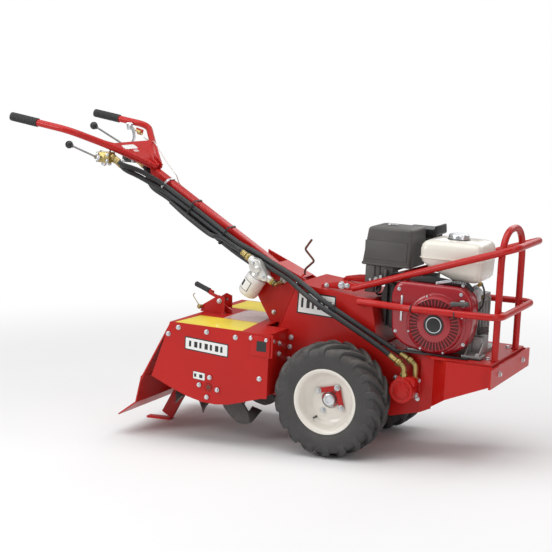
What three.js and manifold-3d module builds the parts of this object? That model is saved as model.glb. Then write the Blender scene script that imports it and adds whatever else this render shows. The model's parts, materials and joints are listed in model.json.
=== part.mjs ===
// Walk-behind hydraulic rear-tine tiller, in millimetres.
//
// World frame: +X forward (direction of travel), +Y to the machine's left, +Z up. The origin is on
// the ground, under the middle of the machine's footprint. At rest the machine stands on two tyres and
// on the skid foot behind the tines, which tips its body nose-down by PITCH about the axle. Every piece
// is drawn in the level machine frame, whose axle is at x = 0, z = AXLE_Z, and one outer group applies
// the pitch and the move to the middle.

import * as THREE from 'three';
import { mergeVertices } from 'three/addons/utils/BufferGeometryUtils.js';
import Module from 'manifold-3d';

const wasm = await Module();
wasm.setup();

// ---------------------------------------------------------------- driving dimensions

const GAP = 0.4;                 // clearance between neighbouring pieces
const DEG = Math.PI / 180;

const AXLE_Z = 203;              // axle height = loaded tyre radius
const PITCH = 2.8 * DEG;         // nose-down attitude on level ground

const TYRE_HALF_WIDTH = 76.7;
const TRACK_HALF = 225.4;        // tyre centre plane to machine centre plane
const RIM_FLANGE_R = 116.4;
const RIM_HALF_WIDTH = 68;
const DISC_FACE = -10.6;         // wheel disc's outer face, from the tyre centre plane

const SHEET = 5;                 // hood sheet thickness
const PLATE = 6;                 // frame plate thickness
const FRAME_HALF = 136;          // outer face of a frame side plate

const HOOD_HALF = 290;           // outer face of a hood side panel
const HOOD_TOP_Z = 411;
const HOOD_FRONT_X = -223;
const HOOD_REAR_X = -622;        // rear edge of the flat top
const FLAP_HINGE = [-738, 190];  // rear flap hinge line, x and z
const FLAP_HALF = 280;

const TINE_X = -455;             // tine shaft axis
const TINE_Z = 191;

const MOTOR_X = 245;             // wheel motor axis
const MOTOR_Z = 259;
const MOTOR_R = 43;
const MOTOR_SPROCKET_R = 30;
const AXLE_SPROCKET_R = 75;

const DECK_Z = 385;              // underside of the engine deck
const RAIL_Y = 203;              // centre of a front frame side
const BUMPER_X = 562;            // rear face of the bumper
const BUMPER_HALF = 234;

const GUARD_R = 12.5;            // guard tube radius
const HOOP_HALF = 124;
const HOOP_X = 547;

const CRANK_X = 342;             // engine crankshaft axis
const CRANK_Z = 499;

const COLUMN_START = new THREE.Vector2(-868, 914.4);   // handle column centre line, x and z
const COLUMN_END = new THREE.Vector2(-262, 558.7);
const COLUMN_SIZE = 38;
const PIVOT = new THREE.Vector2(-285, 572.2);          // handle pivot, on the centre line
const GRIP_Y = 290;
const BAR_R = 13;
const HOSE_R = 9;

// ---------------------------------------------------------------- solids

// A closed three.js geometry as a manifold solid with its faces pointing out.
function solid(geometry) {
  const bare = geometry.index ? geometry.toNonIndexed() : geometry.clone();
  bare.deleteAttribute('normal');
  bare.deleteAttribute('uv');
  const merged = mergeVertices(bare, 1e-4);
  const vertProperties = new Float32Array(merged.attributes.position.array);
  const triVerts = new Uint32Array(merged.index.array).filter((v, i, all) => {
    const first = i - (i % 3);
    const [a, b, c] = [all[first], all[first + 1], all[first + 2]];
    return a !== b && b !== c && a !== c;
  });
  const made = new wasm.Manifold(new wasm.Mesh({ numProp: 3, vertProperties, triVerts }));
  if (made.volume() > 0) {
    return made;
  }
  return new wasm.Manifold(new wasm.Mesh({ numProp: 3, vertProperties, triVerts: triVerts.reverse() }));
}

function unite(...solids) {
  return solids.reduce((whole, next) => whole.add(next));
}

function toGeometry(made) {
  const mesh = made.getMesh();
  const geometry = new THREE.BufferGeometry();
  geometry.setAttribute('position', new THREE.BufferAttribute(new Float32Array(mesh.vertProperties), 3));
  geometry.setIndex(new THREE.BufferAttribute(new Uint32Array(mesh.triVerts), 1));
  geometry.computeVertexNormals();
  return geometry;
}

function mirrored(made) {
  return made.mirror([0, 1, 0]);
}

function box(x0, x1, y0, y1, z0, z1) {
  const geometry = new THREE.BoxGeometry(x1 - x0, y1 - y0, z1 - z0);
  geometry.translate((x0 + x1) / 2, (y0 + y1) / 2, (z0 + z1) / 2);
  return solid(geometry);
}

// A flat outline of [x, z] points, from y0 to y1.
function prism(points, y0, y1) {
  const shape = new THREE.Shape(points.map(([x, z]) => new THREE.Vector2(x, z)));
  const geometry = new THREE.ExtrudeGeometry(shape, { depth: y1 - y0, bevelEnabled: false });
  geometry.rotateX(Math.PI / 2);
  geometry.translate(0, y1, 0);
  return solid(geometry);
}

// A sheet of the given thickness bent along an open line of [x, z] points, from y0 to y1. The line is its
// left-hand face, and the thickness goes to the right of the direction of travel.
function foldedSheet(points, thickness, y0, y1) {
  const inner = points.map((point, i) => {
    const before = points[Math.max(i - 1, 0)];
    const after = points[Math.min(i + 1, points.length - 1)];
    const normals = [];
    if (i > 0) {
      normals.push(rightNormal(before, point));
    }
    if (i < points.length - 1) {
      normals.push(rightNormal(point, after));
    }
    const mean = normals.reduce((sum, n) => sum.clone().add(n)).normalize();
    const reach = thickness / mean.dot(normals[0]);
    return [point[0] + mean.x * reach, point[1] + mean.y * reach];
  });
  return prism([...points, ...inner.reverse()], y0, y1);
}

function rightNormal(a, b) {
  return new THREE.Vector2(b[1] - a[1], a[0] - b[0]).normalize();
}

// A round bar between two points.
function rod(from, to, radius, sides = 12) {
  const start = new THREE.Vector3(...from);
  const end = new THREE.Vector3(...to);
  const geometry = new THREE.CylinderGeometry(radius, radius, start.distanceTo(end), sides);
  const along = end.clone().sub(start).normalize();
  geometry.applyQuaternion(new THREE.Quaternion().setFromUnitVectors(new THREE.Vector3(0, 1, 0), along));
  const middle = start.add(end).multiplyScalar(0.5);
  geometry.translate(middle.x, middle.y, middle.z);
  return solid(geometry);
}

// A disc or bore about an axis parallel to Y.
function crossCylinder(x, z, radius, y0, y1, sides = 20) {
  return rod([x, y0, z], [x, y1, z], radius, sides);
}

// A round tube or hose, solid, along a smooth curve through the points.
function tube(points, radius, steps, sides = 8) {
  const path = new THREE.CatmullRomCurve3(points.map((p) => new THREE.Vector3(...p)), false, 'centripetal');
  return sweep(path, radius, steps, sides);
}

function sweep(path, radius, steps, sides) {
  const ring = [];
  for (let i = 0; i < sides; i += 1) {
    const angle = (i / sides) * 2 * Math.PI;
    ring.push(new THREE.Vector2(radius * Math.cos(angle), radius * Math.sin(angle)));
  }
  const shape = new THREE.Shape(ring);
  return solid(new THREE.ExtrudeGeometry(shape, { steps, bevelEnabled: false, extrudePath: path }));
}

// A line through points, whose sweep has one ring at each point, square to the mean direction there.
class BentLine extends THREE.Curve {
  constructor(points) {
    super();
    this.points = points;
  }

  getPoint(t) {
    const last = this.points.length - 1;
    const at = Math.min(Math.floor(t * last + 1e-6), last - 1);
    return this.points[at].clone().lerp(this.points[at + 1], t * last - at);
  }

  getPointAt(u) {
    return this.getPoint(u);
  }

  getTangentAt(u) {
    const last = this.points.length - 1;
    const at = Math.round(u * last);
    const mean = new THREE.Vector3();
    for (const i of [at - 1, at]) {
      if (i >= 0 && i < last) {
        mean.add(this.points[i + 1].clone().sub(this.points[i]).normalize());
      }
    }
    return mean.normalize();
  }
}

// A bar bent with round corners of the given bend radius between straight runs.
function bentBar(points, radius, bend, sides = 10) {
  const corners = points.map((p) => new THREE.Vector3(...p));
  const path = [corners[0]];
  for (let i = 1; i < corners.length - 1; i += 1) {
    const back = corners[i - 1].clone().sub(corners[i]).normalize();
    const ahead = corners[i + 1].clone().sub(corners[i]).normalize();
    const half = back.angleTo(ahead) / 2;
    const cut = bend / Math.tan(half);
    const from = corners[i].clone().addScaledVector(back, cut);
    const to = corners[i].clone().addScaledVector(ahead, cut);
    const arc = new THREE.QuadraticBezierCurve3(from, corners[i], to);
    const turns = Math.max(1, Math.round((Math.PI - 2 * half) / (18 * DEG)));
    path.push(...arc.getPoints(turns));
  }
  path.push(corners[corners.length - 1]);
  return sweep(new BentLine(path), radius, path.length - 1, sides);
}

// A body of revolution about an axis parallel to Y: a closed outline of [radius, y] points.
function turned(outline, x, z, sides) {
  const profile = [...outline, outline[0]].map(([r, y]) => new THREE.Vector2(r, y));
  const geometry = new THREE.LatheGeometry(profile, sides);
  geometry.translate(x, 0, z);
  return solid(geometry);
}

// ---------------------------------------------------------------- materials and naming

const RED = { color: 0xb01818, roughness: 0.28, metalness: 0.1 };
const BLACK = { color: 0x1d1d1f, roughness: 0.7, metalness: 0.0 };
const RUBBER = { color: 0x232325, roughness: 0.85, metalness: 0.0 };
const IVORY = { color: 0xe9e4d6, roughness: 0.35, metalness: 0.0 };
const STEEL = { color: 0x8d8f92, roughness: 0.4, metalness: 0.9 };
const DARK_STEEL = { color: 0x45444a, roughness: 0.55, metalness: 0.7 };
const BRASS = { color: 0xc9a94f, roughness: 0.35, metalness: 0.9 };
const ALLOY = { color: 0x9c9d9e, roughness: 0.5, metalness: 0.8 };

const level = new THREE.Group();

function piece(name, made, look) {
  const mesh = new THREE.Mesh(toGeometry(made), new THREE.MeshStandardMaterial(look));
  mesh.name = name;
  level.add(mesh);
}

// ---------------------------------------------------------------- frame

const FRAME_REAR_LOW = [-285, 340];
const FRAME_REAR_TOP = [-197, 579];
const FRAME_TOP_FRONT = [93, 551];
const FRAME_FRONT_LOW = [125, 393];
const FRAME_NOSE_X = 332;

function frameSide() {
  const outline = [
    FRAME_REAR_TOP, FRAME_TOP_FRONT, FRAME_FRONT_LOW,
    [134, DECK_Z - 1], [FRAME_NOSE_X, DECK_Z - 1], [FRAME_NOSE_X, 196],
    [296, 178], [190, 150], [-190, 140], [-292, 165], FRAME_REAR_LOW,
  ];
  const [outside, inside] = [-FRAME_HALF - 1, -FRAME_HALF + PLATE + 1];
  return prism(outline, -FRAME_HALF, -FRAME_HALF + PLATE)
    .subtract(crossCylinder(0, AXLE_Z, 17.5, outside, inside))
    .subtract(crossCylinder(MOTOR_X, MOTOR_Z, 14, outside, inside));
}

// Rear, top and front of the housing, one folded plate between the two sides.
function frameCover() {
  const half = FRAME_HALF - PLATE - GAP;
  const line = [FRAME_REAR_LOW, FRAME_REAR_TOP, FRAME_TOP_FRONT, FRAME_FRONT_LOW];
  return foldedSheet(line, PLATE, -half, half);
}

// Both front side members and the bumper, welded into one U.
function frontFrame() {
  const inner = FRAME_HALF + GAP;
  const plan = new THREE.Shape([
    new THREE.Vector2(292, -inner - PLATE), new THREE.Vector2(338, -inner - PLATE),
    new THREE.Vector2(402, -RAIL_Y - 3), new THREE.Vector2(BUMPER_X + 1, -RAIL_Y - 3),
    new THREE.Vector2(BUMPER_X + 1, -RAIL_Y + 3), new THREE.Vector2(404, -RAIL_Y + 3),
    new THREE.Vector2(340, -inner), new THREE.Vector2(292, -inner),
  ]);
  const wall = new THREE.ExtrudeGeometry(plan, { depth: 260, bevelEnabled: false });
  wall.translate(0, 0, 140);
  const outline = [
    [292, DECK_Z - 1], [BUMPER_X + 1, DECK_Z - 1], [BUMPER_X + 1, 318], [405, 251], [330, 200], [292, 178],
  ];
  const side = solid(wall).intersect(prism(outline, -260, 0));
  const bumper = box(BUMPER_X, BUMPER_X + 8, -BUMPER_HALF, BUMPER_HALF, 314, 380);
  return unite(bumper, side, mirrored(side));
}

function engineDeck() {
  const edge = [[136, 142], [292, 142], [345, 197], [557, 197]];
  const outline = [...edge, ...edge.map(([x, y]) => [x, -y]).reverse()];
  const plate = new THREE.ExtrudeGeometry(
    new THREE.Shape(outline.map(([x, y]) => new THREE.Vector2(x, y))),
    { depth: PLATE, bevelEnabled: false },
  );
  plate.translate(0, 0, DECK_Z);
  return solid(plate);
}

piece('frame_side_right', frameSide(), RED);
piece('frame_side_left', mirrored(frameSide()), RED);
piece('frame_cover', frameCover(), RED);
piece('front_frame', frontFrame(), RED);
piece('engine_deck', engineDeck(), RED);

// ---------------------------------------------------------------- guards

const DECK_TOP = DECK_Z + PLATE;

function guardHoop() {
  const foot = DECK_TOP + GAP;
  const crown = 845 - GUARD_R;
  return bentBar([
    [HOOP_X, -HOOP_HALF, foot], [HOOP_X, -HOOP_HALF, crown],
    [HOOP_X, HOOP_HALF, crown], [HOOP_X, HOOP_HALF, foot],
  ], GUARD_R, HOOP_HALF - 4);
}

function lowerGuardRail() {
  const arm = [[48, -150, 541], [112, -152, 543], [262, -201, 548], [577, -201, 553]];
  const other = arm.map(([x, y, z]) => [x, -y, z]).reverse();
  return bentBar([...arm, ...other], GUARD_R, 45);
}

function upperGuardRail() {
  const arm = [[6, -101, 578], [606, -156, 784]];
  const other = arm.map(([x, y, z]) => [x, -y, z]).reverse();
  const outline = [[-116, 572], [-104, 586], [-50, 597], [-14, 599], [14, 592], [14, 572], [-60, 572]];
  const lug = prism(outline, -104, -98);
  return unite(bentBar([...arm, ...other], GUARD_R, 50), lug, mirrored(lug));
}

piece('guard_hoop', guardHoop(), RED);
piece('guard_rail_lower', lowerGuardRail(), RED);
piece('guard_rail_upper', upperGuardRail(), RED);

// ---------------------------------------------------------------- tine hood

const HOOD_INNER = HOOD_HALF - SHEET - GAP;
const STAKE_LEAN = new THREE.Vector2(FLAP_HINGE[0] - HOOD_REAR_X, FLAP_HINGE[1] - HOOD_TOP_Z).normalize();
const STAKE_TOP = new THREE.Vector2(-541, 436);

function hoodTop() {
  const sheet = foldedSheet([
    [FLAP_HINGE[0] + 6, FLAP_HINGE[1] + 11], [HOOD_REAR_X, HOOD_TOP_Z],
    [HOOD_FRONT_X, HOOD_TOP_Z], [HOOD_FRONT_X, 190],
  ], SHEET, -HOOD_INNER, HOOD_INNER);
  const side = FRAME_HALF + GAP;
  const frameNotch = box(-310, HOOD_FRONT_X + 10, -side, side, 100, HOOD_TOP_Z + 10);
  const stakeSlot = box(-592, -516, -9, 9, HOOD_TOP_Z - 10, HOOD_TOP_Z + 10);
  return sheet.subtract(frameNotch).subtract(stakeSlot);
}

function hoodSide() {
  const outline = [
    [HOOD_REAR_X, HOOD_TOP_Z], [-208, HOOD_TOP_Z], [-208, 330], [HOOD_FRONT_X, 326], [HOOD_FRONT_X, 181],
    [-250, 177], [-326, 152], [-375, 138], [-426, 131], [-480, 133], [-540, 145], [-604, 166], [-692, 201],
  ];
  const panel = prism(outline, -HOOD_HALF, -HOOD_HALF + SHEET);
  const shaftHole = crossCylinder(TINE_X, TINE_Z, 16, -HOOD_HALF - 1, -HOOD_HALF + SHEET + 1);
  const bolts = unite(...bearingBolts(5.8, -HOOD_HALF - 1, -HOOD_HALF + SHEET + 1));
  return panel.subtract(shaftHole).subtract(bolts);
}

function bearingBolts(radius, y0, y1) {
  return [80, 170, 260, 350].map((angle) => crossCylinder(
    TINE_X + 37 * Math.cos(angle * DEG), TINE_Z + 37 * Math.sin(angle * DEG), radius, y0, y1, 6,
  ));
}

// Flanged bearing behind the right panel, with its four bolts through the panel.
function tineBearing() {
  const back = -HOOD_HALF + SHEET + GAP;
  const flange = crossCylinder(TINE_X, TINE_Z, 50, back, back + 12);
  const bore = crossCylinder(TINE_X, TINE_Z, 15.5, back - 1, back + 20);
  return unite(
    flange,
    ...bearingBolts(5, -HOOD_HALF - GAP - 1, back + 4),
    ...bearingBolts(9, -HOOD_HALF - GAP - 6, -HOOD_HALF - GAP),
  ).subtract(bore);
}

// Tine motor bolted inside the left panel, standing into the open end of the tine shaft.
function tineMotor() {
  const back = HOOD_HALF - SHEET - GAP;
  return unite(
    crossCylinder(TINE_X, TINE_Z, 50, back - 12, back),
    crossCylinder(TINE_X, TINE_Z, 35, back - 110, back - 11),
    ...bearingBolts(5, back - 4, HOOD_HALF + GAP + 1),
    ...bearingBolts(9, HOOD_HALF + GAP, HOOD_HALF + GAP + 6),
  );
}

// Two upright ears on the hood top that carry the depth lever and guide the skid stake.
function depthBracket() {
  const base = HOOD_TOP_Z + GAP;
  const ear = [[-634, base], [-534, base], [-536, 472], [-560, 480], [-628, 436]];
  return unite(
    prism(ear, -34, -29),
    prism(ear, 29, 34),
    box(-634, -612, -34, 34, base, base + 6),
  ).subtract(crossCylinder(-556, 458, 6.5, -40, 40, 10));
}

function rearFlap() {
  const [x, z] = FLAP_HINGE;
  const sheet = foldedSheet([[x - 1, z - 7], [-759, 88], [-832, 31]], SHEET, -FLAP_HALF, FLAP_HALF);
  return unite(sheet, crossCylinder(x, z - 3, 6, -FLAP_HALF, FLAP_HALF, 10));
}

piece('hood_top', hoodTop(), RED);
piece('hood_side_right', hoodSide(), RED);
piece('hood_side_left', mirrored(hoodSide()), RED);
piece('tine_bearing', tineBearing(), STEEL);
piece('tine_motor', tineMotor(), DARK_STEEL);
piece('depth_bracket', depthBracket(), RED);
piece('rear_flap', rearFlap(), RED);

// ---------------------------------------------------------------- depth stake and lever

// A point given in the world frame, seen in the level machine frame.
function onGround(x, z) {
  const up = z - AXLE_Z;
  return [
    x * Math.cos(PITCH) - up * Math.sin(PITCH),
    x * Math.sin(PITCH) + up * Math.cos(PITCH) + AXLE_Z,
  ];
}

function depthStake() {
  const toe = new THREE.Vector2(...onGround(-772, 8));
  const across = new THREE.Vector2(-STAKE_LEAN.y, STAKE_LEAN.x).multiplyScalar(25);
  const length = toe.clone().sub(STAKE_TOP).dot(STAKE_LEAN);
  const end = STAKE_TOP.clone().addScaledVector(STAKE_LEAN, length);
  const bar = [
    [STAKE_TOP.x + across.x, STAKE_TOP.y + across.y], [end.x + across.x, end.y + across.y],
    [end.x - across.x, end.y - across.y], [STAKE_TOP.x - across.x, STAKE_TOP.y - across.y],
  ];
  const shoe = [
    onGround(-878, 5), onGround(-872, 0), onGround(-776, 0),
    onGround(-768, 6), onGround(-776, 9), onGround(-874, 9),
  ];
  return unite(prism(bar, -6, 6), prism(shoe, -14, 14));
}

// Cranked lever between the ears, on its own cross pin.
function depthLever() {
  const arm = [[-566, 450], [-546, 448], [-540, 462], [-552, 472], [-604, 489], [-606, 479], [-570, 466]];
  return unite(
    prism(arm, -27, -21),
    crossCylinder(-556, 458, 6, -40, -14, 10),
    box(-606, -600, -27, 3, 479, 488),
    rod([-600, 0, 480], [-674, 0, 507], 8, 10),
  );
}

piece('depth_stake', depthStake(), RED);
piece('depth_lever', depthLever(), RED);

// ---------------------------------------------------------------- tine rotor

const TINE_SET_Y = [-205, -80, 80, 205];
const FIRST_TINE = 49;            // degrees below level of the first set's forward tine
const SET_TURN = [0, 24, 12, 36]; // each set is turned back by its own amount, so no two bite at once

function tineShaft() {
  const body = crossCylinder(TINE_X, TINE_Z, 46, -255, 262, 16);
  const neck = crossCylinder(TINE_X, TINE_Z, 15, -HOOD_HALF + 1, -254, 16);
  return unite(body, neck).subtract(crossCylinder(TINE_X, TINE_Z, 38, 168, 270, 16));
}

// One tine in the XZ plane, its root along +X: a broad flat shank, and a blade folded out sideways from
// the leading edge of its tip.
function tine(turn, side) {
  const shank = prism([
    [50, -32], [80, -40], [120, -38], [156, -29], [176, -8], [188, 16], [150, 33], [98, 37], [50, 32],
  ], -5, 5);
  const fold = [[188, 16], [150, 33], [184.7, 8.7], [146.7, 25.7]].map(([x, z]) => [x, -5 * side, z]);
  const edge = [[170, 61], [136, 36], [174.7, 54.6], [140.7, 29.6]].map(([x, z]) => [x, 44 * side, z]);
  const blade = wasm.Manifold.hull([...fold, ...edge]);
  return unite(shank, blade).rotate([0, turn, 0]);
}

function tineSet(index) {
  const y = TINE_SET_Y[index];
  const hub = crossCylinder(0, 0, 66, -6, 6, 12);
  const first = FIRST_TINE - SET_TURN[index];
  const tines = [0, 1, 2].map((k) => tine(first + k * 120, k === 1 ? -1 : 1));
  const bore = crossCylinder(0, 0, 46 + GAP, -8, 8, 16);
  return unite(hub, ...tines).subtract(bore).translate([TINE_X, y, TINE_Z]);
}

piece('tine_shaft', tineShaft(), DARK_STEEL);
TINE_SET_Y.forEach((y, i) => piece(`tine_set_${i + 1}`, tineSet(i), DARK_STEEL));

// ---------------------------------------------------------------- drive wheels

// Wheel parts are drawn about their own centre plane, with the outer side at negative y.
function rim() {
  const section = [
    [RIM_FLANGE_R, -RIM_HALF_WIDTH], [RIM_FLANGE_R, -65],
    [103, -61], [101, -26], [92, -16], [92, 12], [101, 22],
    [103, 61], [RIM_FLANGE_R, 65], [RIM_FLANGE_R, RIM_HALF_WIDTH], [99, 63], [88, 15], [88, DISC_FACE + 5],
    [34, DISC_FACE + 5], [34, DISC_FACE], [88, DISC_FACE], [97, -28], [99, -63],
  ];
  return turned(section, 0, AXLE_Z, 22);
}

function tyre() {
  const w = TYRE_HALF_WIDTH;
  const outside = [[104, 59], [118, 64], [142, w], [172, w - 1], [192, 64], [AXLE_Z, 34]];
  const inside = [[190, 44], [150, 66], [104, 48]];
  const side = (sign, points) => points.map(([r, y]) => [r, sign * y]);
  const section = [
    ...side(-1, outside), ...side(1, outside).reverse(), ...side(1, inside).reverse(), ...side(-1, inside),
  ];
  return turned(section, 0, AXLE_Z, 26);
}

// Clamp with three arms at right angles that locks the wheel disc to the hub.
function driveClamp() {
  const front = DISC_FACE - GAP - 8;
  const arms = [150, 60, -30].map((angle) => {
    const arm = box(-12, 12, front, front + 8, 0, 62);
    return arm.rotate([0, 90 - angle, 0]);
  });
  return unite(crossCylinder(0, 0, 34, front, front + 8, 18), ...arms)
    .subtract(crossCylinder(0, 0, 20 + GAP, front - 1, front + 9, 14))
    .translate([0, 0, AXLE_Z]);
}

function driveAxle() {
  const hubBack = TRACK_HALF + DISC_FACE;
  const flangeFace = TRACK_HALF - DISC_FACE - 5 - GAP;
  const hubs = [-1, 1].map((side) => unite(
    crossCylinder(0, AXLE_Z, 58, side * (flangeFace - 8), side * flangeFace, 18),
    crossCylinder(0, AXLE_Z, 30, side * (hubBack - 40), side * (flangeFace - 7), 14),
    crossCylinder(0, AXLE_Z, 20, side * (flangeFace - 7), side * (TRACK_HALF - DISC_FACE + 16), 14),
  ));
  return unite(
    crossCylinder(0, AXLE_Z, 16, -228, 228, 16),
    crossCylinder(0, AXLE_Z, AXLE_SPROCKET_R, -4, 4, 24),
    ...hubs,
  );
}

function wheelMotor() {
  const face = -FRAME_HALF - GAP;
  return unite(
    crossCylinder(MOTOR_X, MOTOR_Z, MOTOR_R, -205, face, 24),
    box(MOTOR_X - 20, MOTOR_X + 30, -192, -143, MOTOR_Z + 20, MOTOR_Z + 48),
  );
}

function motorSprocket() {
  return unite(
    crossCylinder(MOTOR_X, MOTOR_Z, 12.5, -FRAME_HALF, 10, 14),
    crossCylinder(MOTOR_X, MOTOR_Z, MOTOR_SPROCKET_R, -4, 4, 20),
  );
}

// The chain as one closed band, standing 2 mm clear of both sprockets.
function driveChain() {
  const span = new THREE.Vector2(MOTOR_X, MOTOR_Z - AXLE_Z);
  const heading = span.angle();
  const band = (clearance) => {
    const small = MOTOR_SPROCKET_R + clearance;
    const large = AXLE_SPROCKET_R + clearance;
    const wrap = Math.acos((large - small) / span.length());
    const line = [];
    for (let i = 0; i <= 8; i += 1) {
      const angle = heading - wrap + (2 * wrap * i) / 8;
      line.push([MOTOR_X + small * Math.cos(angle), MOTOR_Z + small * Math.sin(angle)]);
    }
    for (let i = 0; i <= 12; i += 1) {
      const angle = heading + wrap + ((2 * Math.PI - 2 * wrap) * i) / 12;
      line.push([large * Math.cos(angle), AXLE_Z + large * Math.sin(angle)]);
    }
    return line;
  };
  return prism(band(12), -6, 6).subtract(prism(band(4), -8, 8));
}

piece('drive_axle', driveAxle(), STEEL);
piece('rim_right', rim().translate([0, -TRACK_HALF, 0]), IVORY);
piece('rim_left', mirrored(rim()).translate([0, TRACK_HALF, 0]), IVORY);
piece('tyre_right', tyre().translate([0, -TRACK_HALF, 0]), RUBBER);
piece('tyre_left', mirrored(tyre()).translate([0, TRACK_HALF, 0]), RUBBER);
piece('drive_clamp_right', driveClamp().translate([0, -TRACK_HALF, 0]), RED);
piece('drive_clamp_left', mirrored(driveClamp()).translate([0, TRACK_HALF, 0]), RED);
piece('wheel_motor', wheelMotor(), RED);
piece('motor_sprocket', motorSprocket(), STEEL);
piece('drive_chain', driveChain(), DARK_STEEL);

// ---------------------------------------------------------------- engine

const ENGINE_FLOOR = DECK_TOP + GAP;
const COVER_BACK = -96;

function crankcase() {
  const block = unite(
    box(264, 452, -95, 95, ENGINE_FLOOR, 590),
    box(236, 484, -95, 108, ENGINE_FLOOR, 404),
  );
  const well = crossCylinder(CRANK_X, CRANK_Z, 66, -100, 70, 16);
  const shaftHole = crossCylinder(CRANK_X, CRANK_Z, 13.5, 60, 100, 14);
  return block.subtract(well).subtract(shaftHole);
}

// Slanted cylinder and head with cooling fins, on the rear of the crankcase.
function cylinderBlock() {
  const outline = [[264 - GAP, 430], [264 - GAP, 580], [205, 628], [128, 628], [108, 560], [128, 455]];
  const body = prism(outline, -82, 82);
  const slots = [];
  for (let x = 130; x <= 234; x += 26) {
    slots.push(box(x, x + 12, 66, 90, 400, 640));
    slots.push(box(x, x + 12, -90, -66, 400, 640));
  }
  return slots.reduce((left, slot) => left.subtract(slot), body);
}

// Red cooling shroud round the flywheel, carried rearward over the cylinder, open at the back.
function fanCover() {
  const outline = [
    [184, 440], [172, 590], [190, 616], [230, 632], [420, 632], [462, 596], [471, 500],
    [446, 424], [392, 396], [292, 396],
    [226, 408],
  ];
  const inside = crossCylinder(CRANK_X, CRANK_Z, 98, -152, COVER_BACK + 1, 24);
  return prism(outline, -160, COVER_BACK).subtract(inside);
}

function recoilHousing() {
  const y = -160 - GAP;
  return turned([[0, y], [96, y], [96, y - 12], [84, y - 22], [0, y - 24]], CRANK_X, CRANK_Z, 28);
}

function crankshaft() {
  return unite(
    crossCylinder(CRANK_X, CRANK_Z, 12.5, -148, 130, 14),
    crossCylinder(CRANK_X, CRANK_Z, 92, -142, -106, 24),
    crossCylinder(CRANK_X, CRANK_Z, 44, -70, 40, 16),
  );
}

function hydraulicPump() {
  return unite(
    crossCylinder(CRANK_X, CRANK_Z, 52, 95 + GAP, 118, 20)
      .subtract(crossCylinder(CRANK_X, CRANK_Z, 20, 90, 132, 14)),
    box(CRANK_X - 34, CRANK_X + 34, 117, 136, CRANK_Z - 34, CRANK_Z + 34)
      .subtract(crossCylinder(CRANK_X, CRANK_Z, 20, 90, 132, 14)),
    box(CRANK_X - 40, CRANK_X + 40, 135, 186, CRANK_Z - 36, CRANK_Z + 36),
  );
}

function recoilGrip() {
  return rod([402, -192, 579], [462, -192, 586], 9, 10);
}

function fuelTank() {
  const outline = [
    [247, 706], [247, 762], [264, 779], [450, 779], [466, 764], [468, 656],
    [456, 640], [378, 640],
    [286, 676],
  ];
  return prism(outline, -108, 92);
}

function fuelCap() {
  const geometry = new THREE.CylinderGeometry(36, 36, 20, 20);
  geometry.rotateX(Math.PI / 2);
  geometry.translate(360, -20, 779 + GAP + 10);
  return solid(geometry);
}

function oilCap() {
  return rod([457, -60, 470], [498, -60, 484], 13, 12);
}

function airCleaner() {
  const outline = [[30, 668], [215, 668], [215, 778], [205, 796], [120, 806], [42, 796], [33, 778]];
  return prism(outline, -100, 62);
}

// Carburettor and intake elbow, between the cylinder and the air cleaner.
function carburetor() {
  return unite(
    box(46, 102, -92, -30, 598, 668 - GAP),
    box(56, 96, -84, -36, 566, 600),
    box(100, 150, -88, -30, 628 + GAP, 668 - GAP),
  );
}

// Silencer box above the far guard rail, under its heat shield, with its pipe down to the cylinder head.
function muffler() {
  const shield = [
    [84, 776], [84, 768], [232, 768], [250, 776], [250, 806], [238, 806], [236, 790], [120, 790],
  ];
  return unite(
    box(92, 232, 70, 172, 702, 770),
    prism(shield, 70, 176),
    box(130, 176, 70, 92, 640, 704),
    box(62, 132, 70, 88, 640, 664),
    box(62, 90, 70, 88, 566, 664),
  );
}

piece('crankcase', crankcase(), ALLOY);
piece('cylinder', cylinderBlock(), ALLOY);
piece('fan_cover', fanCover(), RED);
piece('recoil_housing', recoilHousing(), RED);
piece('recoil_grip', recoilGrip(), BLACK);
piece('crankshaft', crankshaft(), STEEL);
piece('hydraulic_pump', hydraulicPump(), ALLOY);
piece('fuel_tank', fuelTank(), IVORY);
piece('fuel_cap', fuelCap(), ALLOY);
piece('oil_cap', oilCap(), ALLOY);
piece('air_cleaner', airCleaner(), BLACK);
piece('carburetor', carburetor(), ALLOY);
piece('muffler', muffler(), BLACK);

// ---------------------------------------------------------------- handle

const COLUMN_DIR = COLUMN_END.clone().sub(COLUMN_START).normalize();
const COLUMN_UP = new THREE.Vector2(-COLUMN_DIR.y, COLUMN_DIR.x);

// A point beside the column: x along the machine, y across, and "up" measured square to the column.
function byColumn(x, y, up) {
  const along = (x - up * COLUMN_UP.x - COLUMN_START.x) / COLUMN_DIR.x;
  const onLine = COLUMN_START.clone().addScaledVector(COLUMN_DIR, along).addScaledVector(COLUMN_UP, up);
  return [onLine.x, y, onLine.y];
}

function columnOutline(half, from, to) {
  const [a, , az] = byColumn(from, 0, half);
  const [b, , bz] = byColumn(to, 0, half);
  const [c, , cz] = byColumn(to, 0, -half);
  const [d, , dz] = byColumn(from, 0, -half);
  return [[a, az], [b, bz], [c, cz], [d, dz]];
}

function handleColumn() {
  const half = COLUMN_SIZE / 2;
  const bar = prism(columnOutline(half, COLUMN_START.x, COLUMN_END.x), -half, half);
  const bore = crossCylinder(PIVOT.x, PIVOT.y, 8.5, -half - 1, half + 1, 12);
  return bar.subtract(bore);
}

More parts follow.
